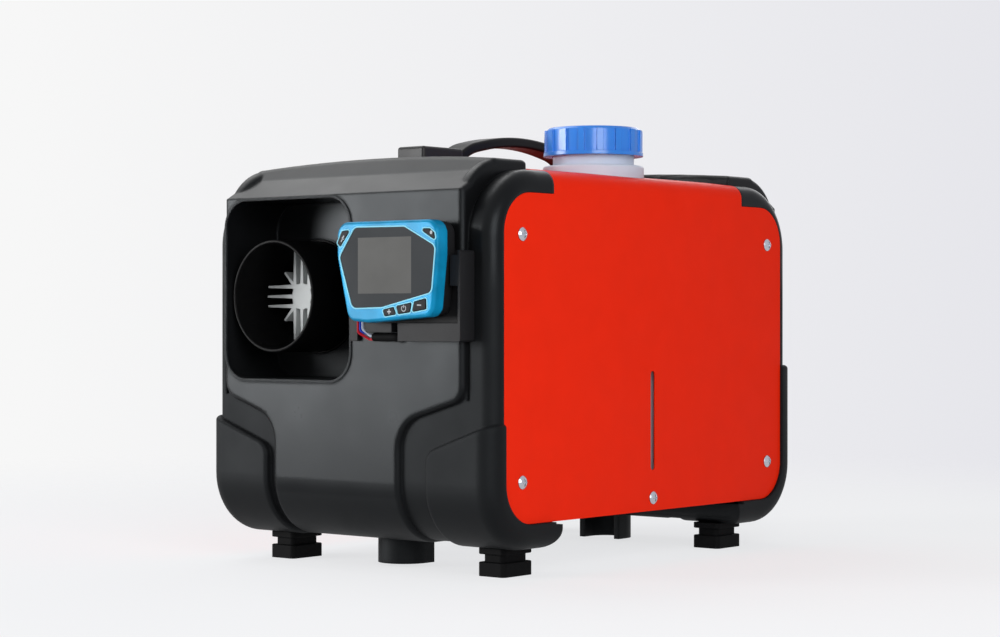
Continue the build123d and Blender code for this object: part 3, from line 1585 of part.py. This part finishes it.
def controller_cradle():
    width = cradle_right - cradle_left
    middle_z = (cradle_bottom + cradle_top) / 2
    slot_length = sleeve_end_x - tongue_left + 3 * sleeve_diameter
    with BuildPart() as cradle:
        with BuildSketch(Plane.XZ.offset(-front_face)):
            with Locations((cradle_left + width / 2, middle_z)):
                Rectangle(width, cradle_top - cradle_bottom)
            # slot that the lead's sleeve lies in
            with Locations(((tongue_left + sleeve_end_x) / 2 - sleeve_bend, sleeve_z)):
                Rectangle(slot_length, sleeve_diameter + 2 * seat_gap, mode=Mode.SUBTRACT)
        extrude(amount=cradle_plate)
        # right arm, down to the case's corner tube
        with Locations((cradle_right - cradle_arm / 2, front_face - cradle_reach, middle_z)):
            Box(
                cradle_arm,
                cradle_reach + panel_proud - seat_gap,
                cradle_top - cradle_bottom,
                align=(Align.CENTER, Align.MIN, Align.CENTER),
            )
        # clips at the controller's sides
        clip_z = (clip_low + clip_high) / 2
        clip_left = bezel_corners[0][0] - seat_gap
        clip_right = bezel_corners[1][0] + seat_gap
        with Locations((clip_left - cradle_arm, front_face - cradle_reach, clip_z)):
            Box(cradle_arm, cradle_reach, clip_high - clip_low, align=(Align.MIN, Align.MIN, Align.CENTER))
        with Locations((clip_right, front_face - cradle_reach, clip_z)):
            Box(
                cradle_right - clip_right,
                cradle_reach,
                clip_high - clip_low,
                align=(Align.MIN, Align.MIN, Align.CENTER),
            )
        # shelf and tongue under the controller
        with Locations((shelf_left, front_face - cradle_reach, cradle_bottom)):
            Box(
                cradle_right - shelf_left,
                cradle_reach,
                shelf_top - cradle_bottom,
                align=(Align.MIN, Align.MIN, Align.MIN),
            )
        with Locations((tongue_left, front_face - tongue_reach, tongue_bottom + 2 * seat_gap)):
            Box(
                tongue_right - tongue_left,
                tongue_reach,
                shelf_top - tongue_bottom - 2 * seat_gap,
                align=(Align.MIN, Align.MIN, Align.MIN),
            )
        right_side = cradle.faces().filter_by(Axis.X).sort_by(Axis.X)[-1]
        fillet(right_side.edges().filter_by(Axis.Y), cradle_round)
    finish(cradle, "controller_cradle")


def controller_lead():
    middle_y = front_face - sleeve_depth
    start_y = front_face - lead_depth
    exit_z = bezel_corners[5][1] + housing_inset + bezel_wall
    for turn, name in enumerate(("lead_red", "lead_blue", "lead_white")):
        x = lead_x + turn * lead_spacing
        angle = radians(120 * turn - 90)
        inside_y = middle_y + lead_circle * cos(angle)
        inside_z = sleeve_z + lead_circle * sin(angle)
        points = [
            (x, start_y, exit_z),
            (x, start_y, sleeve_z + lead_bend_height + turn * lead_stagger),
            (sleeve_start_x - lead_free + turn * lead_stagger, inside_y, inside_z),
            (sleeve_start_x + sleeve_diameter, inside_y, inside_z),
        ]
        with BuildPart() as lead:
            with BuildLine() as path:
                FilletPolyline(*points, radius=lead_spacing)
            with BuildSketch(Plane(points[0], z_dir=(0, 0, -1))):
                Circle(lead_diameter / 2)
            sweep(path=path.wires()[0])
        finish(lead, name)
    with BuildPart() as sleeve:
        with BuildLine() as path:
            FilletPolyline(
                (sleeve_start_x, middle_y, sleeve_z),
                (sleeve_end_x, middle_y, sleeve_z),
                (sleeve_end_x, front_face + 2 * shell_wall, sleeve_z),
                radius=sleeve_bend,
            )
        with BuildSketch(Plane((sleeve_start_x, middle_y, sleeve_z), z_dir=(1, 0, 0))):
            Circle(sleeve_diameter / 2)
        sweep(path=path.wires()[0])
        with BuildSketch(Plane((sleeve_start_x, middle_y, sleeve_z), z_dir=(1, 0, 0))):
            Circle(sleeve_diameter / 2 - seat_gap)
        extrude(amount=2 * sleeve_diameter, mode=Mode.SUBTRACT)
    finish(sleeve, "lead_sleeve")


# ---------------------------------------------------------------- rear fittings


def intake_grille():
    rear_face = end_y(1, 0)
    outer = grille_hole / 2 - seat_gap
    inner = outer - grille_bar
    with BuildPart() as grille:
        with BuildSketch(Plane.XZ.offset(-rear_face)):
            with Locations((outlet_x, outlet_z)):
                Circle(grille_diameter / 2)
                Circle(inner, mode=Mode.SUBTRACT)
        extrude(amount=-grille_flange)
        with BuildSketch(Plane.XZ.offset(-rear_face)):
            with Locations((outlet_x, outlet_z)):
                Circle(outer)
                Circle(inner, mode=Mode.SUBTRACT)
        extrude(amount=grille_depth)
        with BuildSketch(Plane.XZ.offset(grille_flange / 2 - rear_face)):
            with Locations((outlet_x, outlet_z)):
                Circle(grille_ring_radius + grille_bar / 2)
                Circle(grille_ring_radius - grille_bar / 2, mode=Mode.SUBTRACT)
        extrude(amount=-grille_flange)
        with BuildSketch(Plane.XZ.offset(grille_flange / 2 - rear_face)):
            with Locations((outlet_x, outlet_z)):
                with PolarLocations(inner / 2, grille_spokes):
                    Rectangle(inner + grille_bar, grille_bar)
        extrude(amount=-grille_flange)
    finish(grille, "intake_grille")


def cable_gland():
    rear_face = end_y(1, 0)
    with BuildPart() as gland:
        with BuildSketch(Plane.XZ.offset(-rear_face)):
            with Locations((gland_x, gland_z)):
                RegularPolygon(gland_hex, 6)
        extrude(amount=-gland_flange)
        with BuildSketch(Plane.XZ.offset(-rear_face)):
            with Locations((gland_x, gland_z)):
                Circle(gland_diameter / 2)
        extrude(amount=-gland_reach)
        fillet(gland.faces().sort_by(Axis.Y)[-1].edges(), gland_bore / 4)
        with BuildSketch(Plane.XZ.offset(-rear_face)):
            with Locations((gland_x, gland_z)):
                Circle(gland_diameter / 2)
        extrude(amount=gland_tail)
        with BuildSketch(Plane.XZ.offset(-rear_face - gland_reach)):
            with Locations((gland_x, gland_z)):
                Circle(gland_bore / 2)
        extrude(amount=gland_reach + gland_tail, mode=Mode.SUBTRACT)
    finish(gland, "cable_gland")


front_shell()
rear_shell()
wrap_cover()
base_pan()
feet()
foot_fasteners()
cover_screws()
handle()
fuel_tank()
filler_cap()
tank_fittings()
outlet_collar()
heater_case(1, "heater_case_upper")
heater_case(-1, "heater_case_lower")
heat_exchanger()
burner()
fan_housing()
fan_motor()
bladed_wheel(
    intake_y - wheel_width / 2, wheel_width, wheel_radius, wheel_plate, wheel_blades, 30, "combustion_wheel"
)
bladed_wheel(main_fan_y, main_fan_width, main_fan_radius, wheel_plate, main_fan_blades, 20, "main_fan")
pipes()
heater_mounting()
electrics()
fuel_line()
controller_bezel()
controller_inside()
controller_housing()
controller_cradle()
controller_lead()
intake_grille()
cable_gland()
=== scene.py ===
import bpy
from math import acos, cos, pi, radians, sin, tan
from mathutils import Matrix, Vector


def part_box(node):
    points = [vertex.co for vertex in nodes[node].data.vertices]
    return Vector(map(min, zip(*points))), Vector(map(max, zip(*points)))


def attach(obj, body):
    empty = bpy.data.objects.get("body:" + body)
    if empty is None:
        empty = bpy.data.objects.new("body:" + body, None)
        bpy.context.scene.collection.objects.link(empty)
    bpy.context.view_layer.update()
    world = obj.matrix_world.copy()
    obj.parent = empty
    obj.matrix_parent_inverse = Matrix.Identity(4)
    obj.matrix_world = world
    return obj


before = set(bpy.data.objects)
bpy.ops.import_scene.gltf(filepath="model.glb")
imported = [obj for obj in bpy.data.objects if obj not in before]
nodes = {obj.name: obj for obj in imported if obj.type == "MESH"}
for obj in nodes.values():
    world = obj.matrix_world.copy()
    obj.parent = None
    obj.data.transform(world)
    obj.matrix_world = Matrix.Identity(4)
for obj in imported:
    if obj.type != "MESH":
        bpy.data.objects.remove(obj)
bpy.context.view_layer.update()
MM = 0.001

# Sizes are in metres. The outlines of the controller's face and of its icons are in millimetres.


# ---------------------------------------------------------------- shader nodes

# A colour mix has several sockets of the same name, so they are picked by number.
MIX_SHARE = 0
MIX_FIRST = 6
MIX_SECOND = 7
MIX_RESULT = 2

NOISE_START = 0.3       # nearly all of a noise's values lie between these two
NOISE_END = 0.7


def node(tree, kind, **values):
    """Adds a node, sets its named inputs and returns it."""
    made = tree.nodes.new(kind)
    for name, value in values.items():
        made.inputs[name.replace("_", " ")].default_value = value
    return made


def noise(tree, size, detail, rough=0.5):
    """Noise whose blobs are about size metres across, in the object's own frame."""
    place = tree.nodes.new("ShaderNodeTexCoord")
    texture = node(tree, "ShaderNodeTexNoise", Scale=1.0 / size, Detail=detail, Roughness=rough)
    tree.links.new(place.outputs["Object"], texture.inputs["Vector"])
    return texture.outputs["Fac"]


def spread(tree, source, low, high, start=NOISE_START, end=NOISE_END):
    """A number that goes from low to high while the source goes from start to end."""
    ranged = node(tree, "ShaderNodeMapRange", From_Min=start, From_Max=end, To_Min=low, To_Max=high)
    tree.links.new(source, ranged.inputs["Value"])
    return ranged.outputs["Result"]


def mixed(tree, share, first, second):
    """A colour between the first, where share is 0, and the second, where it is 1."""
    mix = tree.nodes.new("ShaderNodeMix")
    mix.data_type = "RGBA"
    mix.inputs[MIX_FIRST].default_value = (*first, 1.0)
    mix.inputs[MIX_SECOND].default_value = (*second, 1.0)
    tree.links.new(share, mix.inputs[MIX_SHARE])
    return mix.outputs[MIX_RESULT]


def computed(tree, operation, *sources):
    """The result of a math node on numbers or sockets."""
    made = tree.nodes.new("ShaderNodeMath")
    made.operation = operation
    for index, source in enumerate(sources):
        if isinstance(source, float):
            made.inputs[index].default_value = source
        else:
            tree.links.new(source, made.inputs[index])
    return made.outputs[0]


# ---------------------------------------------------------------- finishes

MOTTLE_DETAIL = 4.0
SMUDGE_SIZE = 2.3       # times the mottle's
SMUDGE_DETAIL = 5.0
SMUDGE_ROUGHNESS = 0.6
GRAIN_DETAIL = 3.0
BEVEL_SAMPLES = 4
LIGHT_DEPTH = 0.004     # how far light goes into the milky tank

SHEEN = 0.31            # roughness of the shells' raised panels
DULLER = 0.24           # how much rougher the rest of the shells is
SHEEN_CHANGE = 0.001    # width of the change between the two
MIDDLE_Y = 0.004        # the plane halfway between the shells
PANEL_REACH = 0.172     # from that plane to the panels
PAD_SIDE = 0.0695       # from the middle to the pads' inner side
PAD_TOP = 0.103         # height of the pads
GROUND_DEPTH = 0.001    # how far behind the panels their ground starts
GROUND_TOP = 0.20       # height at which the ground has the panels' sheen again
GROUND_FADE = 0.02      # height over which it gets it


def finish_of(name, color, roughness, metallic=0.0, specular=0.5, grain=0.0006, depth=0.00002, mottle=0.06,
              mottle_size=0.02, rough_spread=0.05, edge=0.0004, subsurface=0.0):
    """A procedural finish: mottled colour, uneven roughness, fine grain and softened edges."""
    material = bpy.data.materials.new(name)
    material.use_nodes = True
    tree = material.node_tree
    shader = tree.nodes["Principled BSDF"]
    shader.inputs["Metallic"].default_value = metallic
    shader.inputs["Specular IOR Level"].default_value = specular
    shader.inputs["Subsurface Weight"].default_value = subsurface
    shader.inputs["Subsurface Radius"].default_value = (1.0, 1.0, 1.0)
    shader.inputs["Subsurface Scale"].default_value = LIGHT_DEPTH
    material.diffuse_color = (*color, 1.0)

    dark = [value * (1 - mottle) for value in color]
    light = [min(1.0, value * (1 + mottle)) for value in color]
    blobs = spread(tree, noise(tree, mottle_size, MOTTLE_DETAIL), 0.0, 1.0)
    tree.links.new(mixed(tree, blobs, dark, light), shader.inputs["Base Color"])

    smudges = noise(tree, mottle_size * SMUDGE_SIZE, SMUDGE_DETAIL, SMUDGE_ROUGHNESS)
    rough = spread(tree, smudges, roughness - rough_spread, roughness + rough_spread)
    tree.links.new(rough, shader.inputs["Roughness"])

    bump = node(tree, "ShaderNodeBump", Strength=1.0, Distance=depth)
    tree.links.new(noise(tree, grain, GRAIN_DETAIL), bump.inputs["Height"])
    if edge:
        bevel = node(tree, "ShaderNodeBevel", Radius=edge)
        bevel.samples = BEVEL_SAMPLES
        tree.links.new(bevel.outputs["Normal"], bump.inputs["Normal"])
    tree.links.new(bump.outputs["Normal"], shader.inputs["Normal"])
    return material


def shell_finish():
    """Black moulded plastic: the raised panels have a sheen, their ground and the pads are duller."""
    material = finish_of("shell", (0.0045, 0.0048, 0.0053), SHEEN, specular=0.115, grain=0.0005,
                         depth=0.000005, rough_spread=0.04, edge=0.0028)
    tree = material.node_tree
    shader = tree.nodes["Principled BSDF"]
    shader.inputs["Specular Tint"].default_value = (0.88, 0.95, 1.0, 1.0)
    glossy = shader.inputs["Roughness"].links[0].from_socket
    place = tree.nodes.new("ShaderNodeTexCoord")
    parts = tree.nodes.new("ShaderNodeSeparateXYZ")
    tree.links.new(place.outputs["Object"], parts.inputs[0])
    height = parts.outputs["Z"]

    across = computed(tree, "ABSOLUTE", parts.outputs["X"])
    beside = spread(tree, across, 0.0, 1.0, PAD_SIDE, PAD_SIDE + SHEEN_CHANGE)
    below = spread(tree, height, 1.0, 0.0, PAD_TOP - SHEEN_CHANGE, PAD_TOP)
    pads = computed(tree, "MINIMUM", beside, below)

    reach = computed(tree, "ABSOLUTE", computed(tree, "SUBTRACT", parts.outputs["Y"], MIDDLE_Y))
    depth = computed(tree, "SUBTRACT", PANEL_REACH, reach)
    behind = spread(tree, depth, 0.0, 1.0, GROUND_DEPTH, GROUND_DEPTH + SHEEN_CHANGE)
    low = spread(tree, height, 1.0, 0.0, GROUND_TOP - GROUND_FADE, GROUND_TOP)
    ground = computed(tree, "MINIMUM", behind, low)

    dull = computed(tree, "MAXIMUM", pads, ground)
    rough = computed(tree, "ADD", glossy, computed(tree, "MULTIPLY", dull, DULLER))
    tree.links.new(rough, shader.inputs["Roughness"])
    return material


def dress(material, *names):
    """Gives the named CAD nodes a finish."""
    for name in names:
        nodes[name].data.materials.clear()
        nodes[name].data.materials.append(material)


def finishes():
    """Gives every CAD node its finish."""
    dress(shell_finish(), "front_shell", "rear_shell", "intake_grille")
    dress(finish_of("red", (0.79, 0.020, 0.003), 0.42, specular=0.05, grain=0.0012, depth=0.000006,
                    mottle=0.02),
          "wrap_cover")
    dress(finish_of("steel", (0.55, 0.56, 0.57), 0.38, metallic=1.0, grain=0.002, mottle=0.12,
                    mottle_size=0.008),
          "base_pan", "heater_stand", "pump_clamp", "fan_motor", "motor_shaft", "glow_plug", "exhaust_pipe",
          "fuel_pump")
    dress(finish_of("rubber", (0.0035, 0.0035, 0.0038), 0.62, specular=0.05),
          "foot_front_left", "foot_front_right", "foot_rear_left", "foot_rear_right", "tank_pads",
          "hose_tank", "hose_filter", "hose_heater", "lead_sleeve")
    dress(finish_of("zinc", (0.50, 0.52, 0.57), 0.20, metallic=1.0, edge=0.0003, depth=0.000004),
          "foot_screws", "foot_nuts", "cover_screws", "handle_screws")
    dress(finish_of("strap", (0.007, 0.007, 0.008), 0.40, specular=0.12, edge=0.0008),
          "handle_strap")
    dress(finish_of("handle", (0.014, 0.014, 0.015), 0.42, specular=0.2, edge=0.0008),
          "handle_cap_front", "handle_cap_rear")
    dress(finish_of("tank", (0.58, 0.63, 0.73), 0.42, specular=0.2, mottle=0.03, subsurface=0.2, edge=0.001),
          "fuel_tank")
    dress(finish_of("cap", (0.020, 0.200, 0.70), 0.20, specular=0.45, mottle=0.05, edge=0.0006,
                    depth=0.000005),
          "filler_cap")
    dress(finish_of("seal", (0.015, 0.015, 0.015), 0.7),
          "cap_seal", "flange_gasket")
    dress(finish_of("brass", (0.75, 0.52, 0.20), 0.3, metallic=1.0),
          "tank_outlet")
    dress(finish_of("cradle", (0.010, 0.010, 0.011), 0.45, specular=0.12, edge=0.0006),
          "controller_cradle", "cable_gland", "controller_housing")
    dress(finish_of("bezel", (0.004, 0.21, 0.40), 0.26, metallic=0.06, specular=0.08, grain=0.0003,
                    depth=0.000002, mottle=0.30, mottle_size=0.022, edge=0.0010),
          "controller_bezel")
    dress(finish_of("lens", (0.019, 0.022, 0.025), 0.30, specular=0.03, depth=0.0, mottle=0.01, edge=0.0002),
          "controller_lens", "controller_display")
    dress(finish_of("board", (0.01, 0.16, 0.05), 0.5),
          "controller_board")
    dress(finish_of("button", (0.004, 0.004, 0.005), 0.22, specular=0.03, edge=0.0003, depth=0.000003),
          "button_settings", "button_mode", "button_plus", "button_power", "button_minus")
    dress(finish_of("wire_red", (0.40, 0.008, 0.02), 0.4, specular=0.1),
          "lead_red")
    dress(finish_of("wire_blue", (0.012, 0.04, 0.36), 0.4, specular=0.1),
          "lead_blue")
    dress(finish_of("wire_white", (0.42, 0.46, 0.55), 0.4, specular=0.1),
          "lead_white")
    dress(finish_of("collar", (0.0025, 0.0025, 0.0027), 0.38, specular=0.05, edge=0.0006, depth=0.00001),
          "outlet_collar", "heater_case_lower", "heater_case_upper", "control_unit")
    dress(finish_of("casting", (0.47, 0.49, 0.49), 0.55, metallic=0.05, specular=0.15, grain=0.0012,
                    depth=0.00005, mottle=0.05, edge=0.0007),
          "heat_exchanger", "burner", "fan_housing")
    dress(finish_of("duct", (0.02, 0.02, 0.02), 0.5),
          "intake_pipe", "main_fan", "combustion_wheel", "overheat_sensor")
    dress(finish_of("nylon", (0.55, 0.55, 0.48), 0.35, mottle=0.05),
          "fuel_filter")


# ---------------------------------------------------------------- camera, light and floor

CAMERA_TURN = radians(39.39)    # about the vertical
CAMERA_TILT = radians(90)       # level
CAMERA_PLACE = (1.03117, -1.26422, 0.16385)
CAMERA_LENS = 83.58             # in millimetres, on a sensor of the width below
CAMERA_SENSOR = 36.0

BACKDROP_LEFT = (0.93, 0.93, 0.93)
BACKDROP_RIGHT = (0.79, 0.79, 0.83)
TINT_START = -0.2               # how far to the camera's right a direction points where the tint starts
TINT_END = 0.22
WORLD_LIGHT = 0.30              # how strongly the backdrop lights the object

AIM = Vector((0.0, 0.0, 0.15))  # what the lamps point at
LAMPS = (                       # name, place, width and height, watts
    ("key", (-1.46, -1.56, 0.36), (0.78, 0.72), 35.0),
    ("top", (-1.05, 0.1, 1.65), (1.3, 1.2), 11.0),
    ("side", (1.15, -0.85, 0.55), (0.8, 0.8), 13.5),
    ("back", (-0.8, 1.9, 1.1), (1.4, 1.2), 7.0),
)

FLOOR_REACH = 3.0               # half of the floor's side
FLOOR_COLOR = (0.88, 0.885, 0.90, 1.0)
FLOOR_ROUGHNESS = 0.9
GLOW_COLOR = (0.93, 0.935, 0.95, 1.0)
FLOOR_GLOW = 0.74               # share of the floor's brightness that is the backdrop's, not the lamps'
FADE_START = 0.35               # distances from the middle between which the floor fades out
FADE_END = 1.3


def seen_directly(tree):
    """1 for rays that see the backdrop straight on, mirrored or through glass, 0 for its light."""
    rays = tree.nodes.new("ShaderNodeLightPath")
    mirrored = computed(tree, "MAXIMUM", rays.outputs["Is Glossy Ray"], rays.outputs["Is Transmission Ray"])
    return computed(tree, "MAXIMUM", rays.outputs["Is Camera Ray"], mirrored)


def floor_finish():
    """A pale floor, partly the backdrop's own brightness, that fades into the backdrop with distance."""
    material = bpy.data.materials.new("floor")
    material.use_nodes = True
    tree = material.node_tree
    shader = tree.nodes["Principled BSDF"]
    shader.inputs["Base Color"].default_value = FLOOR_COLOR
    shader.inputs["Roughness"].default_value = FLOOR_ROUGHNESS
    shader.inputs["Specular IOR Level"].default_value = 0.0
    glow = node(tree, "ShaderNodeEmission", Color=GLOW_COLOR, Strength=1.0)
    near = tree.nodes.new("ShaderNodeMixShader")
    tree.links.new(computed(tree, "MULTIPLY", seen_directly(tree), FLOOR_GLOW), near.inputs[0])
    tree.links.new(shader.outputs[0], near.inputs[1])
    tree.links.new(glow.outputs[0], near.inputs[2])

    place = tree.nodes.new("ShaderNodeTexCoord")
    distance = tree.nodes.new("ShaderNodeVectorMath")
    distance.operation = "LENGTH"
    tree.links.new(place.outputs["Object"], distance.inputs[0])
    fade = node(tree, "ShaderNodeMapRange", From_Min=FADE_START, From_Max=FADE_END, To_Min=0.0, To_Max=1.0)
    fade.interpolation_type = "SMOOTHSTEP"
    tree.links.new(distance.outputs["Value"], fade.inputs["Value"])
    clear = tree.nodes.new("ShaderNodeBsdfTransparent")
    blend = tree.nodes.new("ShaderNodeMixShader")
    tree.links.new(fade.outputs["Result"], blend.inputs[0])
    tree.links.new(near.outputs[0], blend.inputs[1])
    tree.links.new(clear.outputs[0], blend.inputs[2])
    tree.links.new(blend.outputs[0], tree.nodes["Material Output"].inputs["Surface"])
    return material


def set_camera(scene):
    """A level camera at the photograph's viewing angle."""
    camera = bpy.data.cameras.new("camera")
    camera.lens = CAMERA_LENS
    camera.sensor_width = CAMERA_SENSOR
    holder = bpy.data.objects.new("camera", camera)
    holder.location = CAMERA_PLACE
    holder.rotation_euler = (CAMERA_TILT, 0, CAMERA_TURN)
    scene.collection.objects.link(holder)
    scene.camera = holder


def set_world(scene):
    """The backdrop, which is a little darker towards the photograph's right."""
    world = bpy.data.worlds.new("world")
    scene.world = world
    world.use_nodes = True
    tree = world.node_tree
    background = tree.nodes["Background"]
    place = tree.nodes.new("ShaderNodeTexCoord")
    across = tree.nodes.new("ShaderNodeVectorMath")
    across.operation = "DOT_PRODUCT"
    across.inputs[1].default_value = (cos(CAMERA_TURN), sin(CAMERA_TURN), 0.0)
    tree.links.new(place.outputs["Generated"], across.inputs[0])
    share = spread(tree, across.outputs["Value"], 0.0, 1.0, TINT_START, TINT_END)
    tree.links.new(mixed(tree, share, BACKDROP_LEFT, BACKDROP_RIGHT), background.inputs["Color"])
    level = spread(tree, seen_directly(tree), WORLD_LIGHT, 1.0, 0.0, 1.0)
    tree.links.new(level, background.inputs["Strength"])


def set_lamps(scene):
    """Soft boxes, which the camera doesn't see."""
    for name, place, size, power in LAMPS:
        lamp = bpy.data.lights.new(name, "AREA")
        lamp.shape = "RECTANGLE"
        lamp.size, lamp.size_y = size
        lamp.energy = power
        lamp_object = bpy.data.objects.new(name, lamp)
        lamp_object.location = place
        lamp_object.rotation_euler = (AIM - Vector(place)).to_track_quat("-Z", "Y").to_euler()
        lamp_object.visible_camera = False
        scene.collection.objects.link(lamp_object)


def set_floor(scene):
    """A plain square under the feet."""
    corners = [(x * FLOOR_REACH, y * FLOOR_REACH, 0) for x, y in ((-1, -1), (1, -1), (1, 1), (-1, 1))]
    floor = bpy.data.meshes.new("floor")
    floor.from_pydata(corners, [], [(0, 1, 2, 3)])
    floor_object = bpy.data.objects.new("floor", floor)
    scene.collection.objects.link(floor_object)
    floor.materials.append(floor_finish())


def studio():
    """The photograph's view and light."""
    scene = bpy.context.scene
    scene.view_settings.view_transform = "Standard"
    set_camera(scene)
    set_world(scene)
    set_lamps(scene)
    set_floor(scene)


# ---------------------------------------------------------------- small shapes

CORNER_STEPS = 6        # spans of a rounded corner
BEAD_ROUNDNESS = 2      # spans of a bead's section between its quarters
ARC_STEPS = 20


def add_piece(name, shape, material, body):
    """Puts a mesh or a curve on the object as a piece of its own."""
    shape.materials.append(material)
    piece = bpy.data.objects.new(name, shape)
    bpy.context.scene.collection.objects.link(piece)
    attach(piece, body)


def rounded(corners, grow):
    """Points of a closed outline whose corners are (x, z, radius) in millimetres, grown outwards."""
    points = []
    count = len(corners)
    area = sum(corners[i][0] * corners[(i + 1) % count][1] - corners[(i + 1) % count][0] * corners[i][1]
               for i in range(count))
    turn = 1 if area > 0 else -1
    for i in range(count):
        before = Vector(corners[i - 1][:2])
        here = Vector(corners[i][:2])
        after = Vector(corners[(i + 1) % count][:2])
        radius = corners[i][2]
        back = (before - here).normalized()
        ahead = (after - here).normalized()
        half = acos(max(-1.0, min(1.0, back.dot(ahead)))) / 2
        centre = here + (back + ahead).normalized() * (radius / sin(half))
        start = here + back * (radius / tan(half)) - centre
        sweep = pi - 2 * half
        bend = 1 if (back.x * ahead.y - back.y * ahead.x) < 0 else -1
        for step in range(CORNER_STEPS + 1):
            angle = bend * sweep * step / CORNER_STEPS
            arm_x = start.x * cos(angle) - start.y * sin(angle)
            arm_z = start.x * sin(angle) + start.y * cos(angle)
            points.append(centre + Vector((arm_x, arm_z)) * (1 + bend * turn * grow / radius))
    return points


def bead_along(name, outline, y, thickness, material, body):
    """A closed round bead along an outline in the XZ plane at y, with the outline in millimetres."""
    curve = bpy.data.curves.new(name, "CURVE")
    curve.dimensions = "3D"
    line = curve.splines.new("POLY")
    line.points.add(len(outline) - 1)
    for point, place in zip(line.points, outline):
        point.co = (place.x * MM, y, place.y * MM, 1.0)
    line.use_cyclic_u = True
    curve.bevel_depth = thickness / 2
    curve.bevel_resolution = BEAD_ROUNDNESS
    add_piece(name, curve, material, body)


def plate(name, outline, y_front, y_back, material, body):
    """A flat plate whose outline is in the XZ plane, in metres."""
    count = len(outline)
    points = [(x, y_front, z) for x, z in outline] + [(x, y_back, z) for x, z in outline]
    faces = [tuple(range(count)), tuple(range(2 * count - 1, count - 1, -1))]
    for i in range(count):
        j = (i + 1) % count
        faces.append((j, i, i + count, j + count))
    mesh = bpy.data.meshes.new(name)
    mesh.from_pydata(points, [], faces)
    mesh.update()
    add_piece(name, mesh, material, body)


def bar(left, bottom, right, top):
    """A rectangle's corners."""
    return [(left, bottom), (right, bottom), (right, top), (left, top)]


def arc(radius, width, start, end, steps=ARC_STEPS):
    """The outline of a ring's stretch from start to end, in degrees."""
    angles = [radians(start + (end - start) * i / steps) for i in range(steps + 1)]
    inside = radius - width
    outer = [(radius * cos(angle), radius * sin(angle)) for angle in angles]
    inner = [(inside * cos(angle), inside * sin(angle)) for angle in reversed(angles)]
    return outer + inner


# ---------------------------------------------------------------- remote controller

# corners of the lens, (x, z, radius), and of the buttons, (x, z), in millimetres
LENS = [(17.0, 203.0, 4.0), (30.0, 221.2, 5.0), (72.0, 220.8, 5.0), (97.0, 208.5, 4.0), (94.0, 180.0, 4.0),
        (53.0, 171.0, 5.0), (28.0, 170.4, 5.0)]
BUTTONS = {
    "button_settings": [(15.4, 211.7), (19.2, 219.0), (26.0, 219.6), (17.8, 209.6)],
    "button_mode": [(85.0, 219.2), (92.9, 219.0), (96.6, 216.5), (97.4, 212.2)],
    "button_plus": [(54.2, 169.2), (63.1, 170.8), (65.1, 166.5), (55.8, 165.4)],
    "button_power": [(65.5, 171.4), (78.1, 173.6), (76.7, 167.9), (67.1, 166.7)],
    "button_minus": [(80.2, 174.1), (89.8, 176.1), (90.2, 169.8), (78.7, 168.1)],
}
BUTTON_RADIUS = 0.8
LENS_LIP_GAP = 0.4          # from an edge to the middle of the lip round it
BUTTON_LIP_GAP = 0.65

# in metres
LENS_LIP = 0.0009           # the lips' thickness
BUTTON_LIP = 0.0008
DISPLAY_PROUD = 0.00003     # how far the display's grey area stands ahead of the lens, and goes into it
DISPLAY_SUNK = 0.0002
ICON_PROUD = 0.00002
ICON_SUNK = 0.0001

# icons, in millimetres from the middle of their button
STROKE = 0.35               # half of a stroke's width
PLUS_ARM = 1.6
MINUS_ARM = 1.7
HOUSE = [(0.8, 0.8), (2.1, 2.1), (3.4, 0.8), (3.0, 0.8), (3.0, -0.3), (1.2, -0.3), (1.2, 0.8)]
TOOL_HANDLE = [(-1.9, -1.9), (-1.3, -2.4), (1.1, 1.4), (0.5, 1.9)]
ICONS = {
    "plus": [bar(-PLUS_ARM, -STROKE, PLUS_ARM, STROKE), bar(-STROKE, STROKE, STROKE, PLUS_ARM),
             bar(-STROKE, -PLUS_ARM, STROKE, -STROKE)],
    "minus": [bar(-MINUS_ARM, -STROKE, MINUS_ARM, STROKE)],
    "power": [arc(2.0, 0.5, 120, 420), bar(-0.25, 0.2, 0.25, 2.3)],
    "mode": [HOUSE],
    "settings": [TOOL_HANDLE, arc(1.0, 0.45, 100, 350, 12)],
}


def controller():
    """Lips round the lens and the buttons, whose light blue is a painted highlight on the bezel's rims, and
    the display's grey area.
    """
    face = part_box("controller_bezel")[0].y
    # painted highlight: the lips' light blue stands in for the light caught on the bezel's rounded rims round
    # the lens and the buttons
    rim_highlight = finish_of("bezel_rim_highlight", (0.26, 0.62, 0.76), 0.3, specular=0.06, depth=0.0, mottle=0.02, edge=0.0)
    bead_along("lens_lip", rounded(LENS, LENS_LIP_GAP), face, LENS_LIP, rim_highlight, "root")
    for name, corners in BUTTONS.items():
        outline = rounded([(x, z, BUTTON_RADIUS) for x, z in corners], BUTTON_LIP_GAP)
        bead_along(name + "_lip", outline, face, BUTTON_LIP, rim_highlight, "root")

    screen = finish_of("screen", (0.080, 0.080, 0.077), 0.32, specular=0.03, depth=0.0, mottle=0.05,
                       mottle_size=0.015, edge=0.0)
    low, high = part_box("controller_display")
    lens_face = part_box("controller_lens")[0].y
    plate("display_view", bar(low.x, low.z, high.x, high.z), lens_face - DISPLAY_PROUD,
          lens_face + DISPLAY_SUNK, screen, "root")


def icons():
    """The white signs on the buttons."""
    white = finish_of("icon", (0.40, 0.42, 0.44), 0.4, specular=0.05, depth=0.0, mottle=0.01, edge=0.0)
    for name, shapes in ICONS.items():
        button = f"button_{name}"
        low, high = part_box(button)
        centre = (low + high) / 2
        for index, shape in enumerate(shapes):
            outline = [(centre.x + x * MM, centre.z + z * MM) for x, z in shape]
            plate(f"icon_{name}_{index}", outline, low.y - ICON_PROUD, low.y + ICON_SUNK, white, button)


studio()
finishes()
controller()
icons()
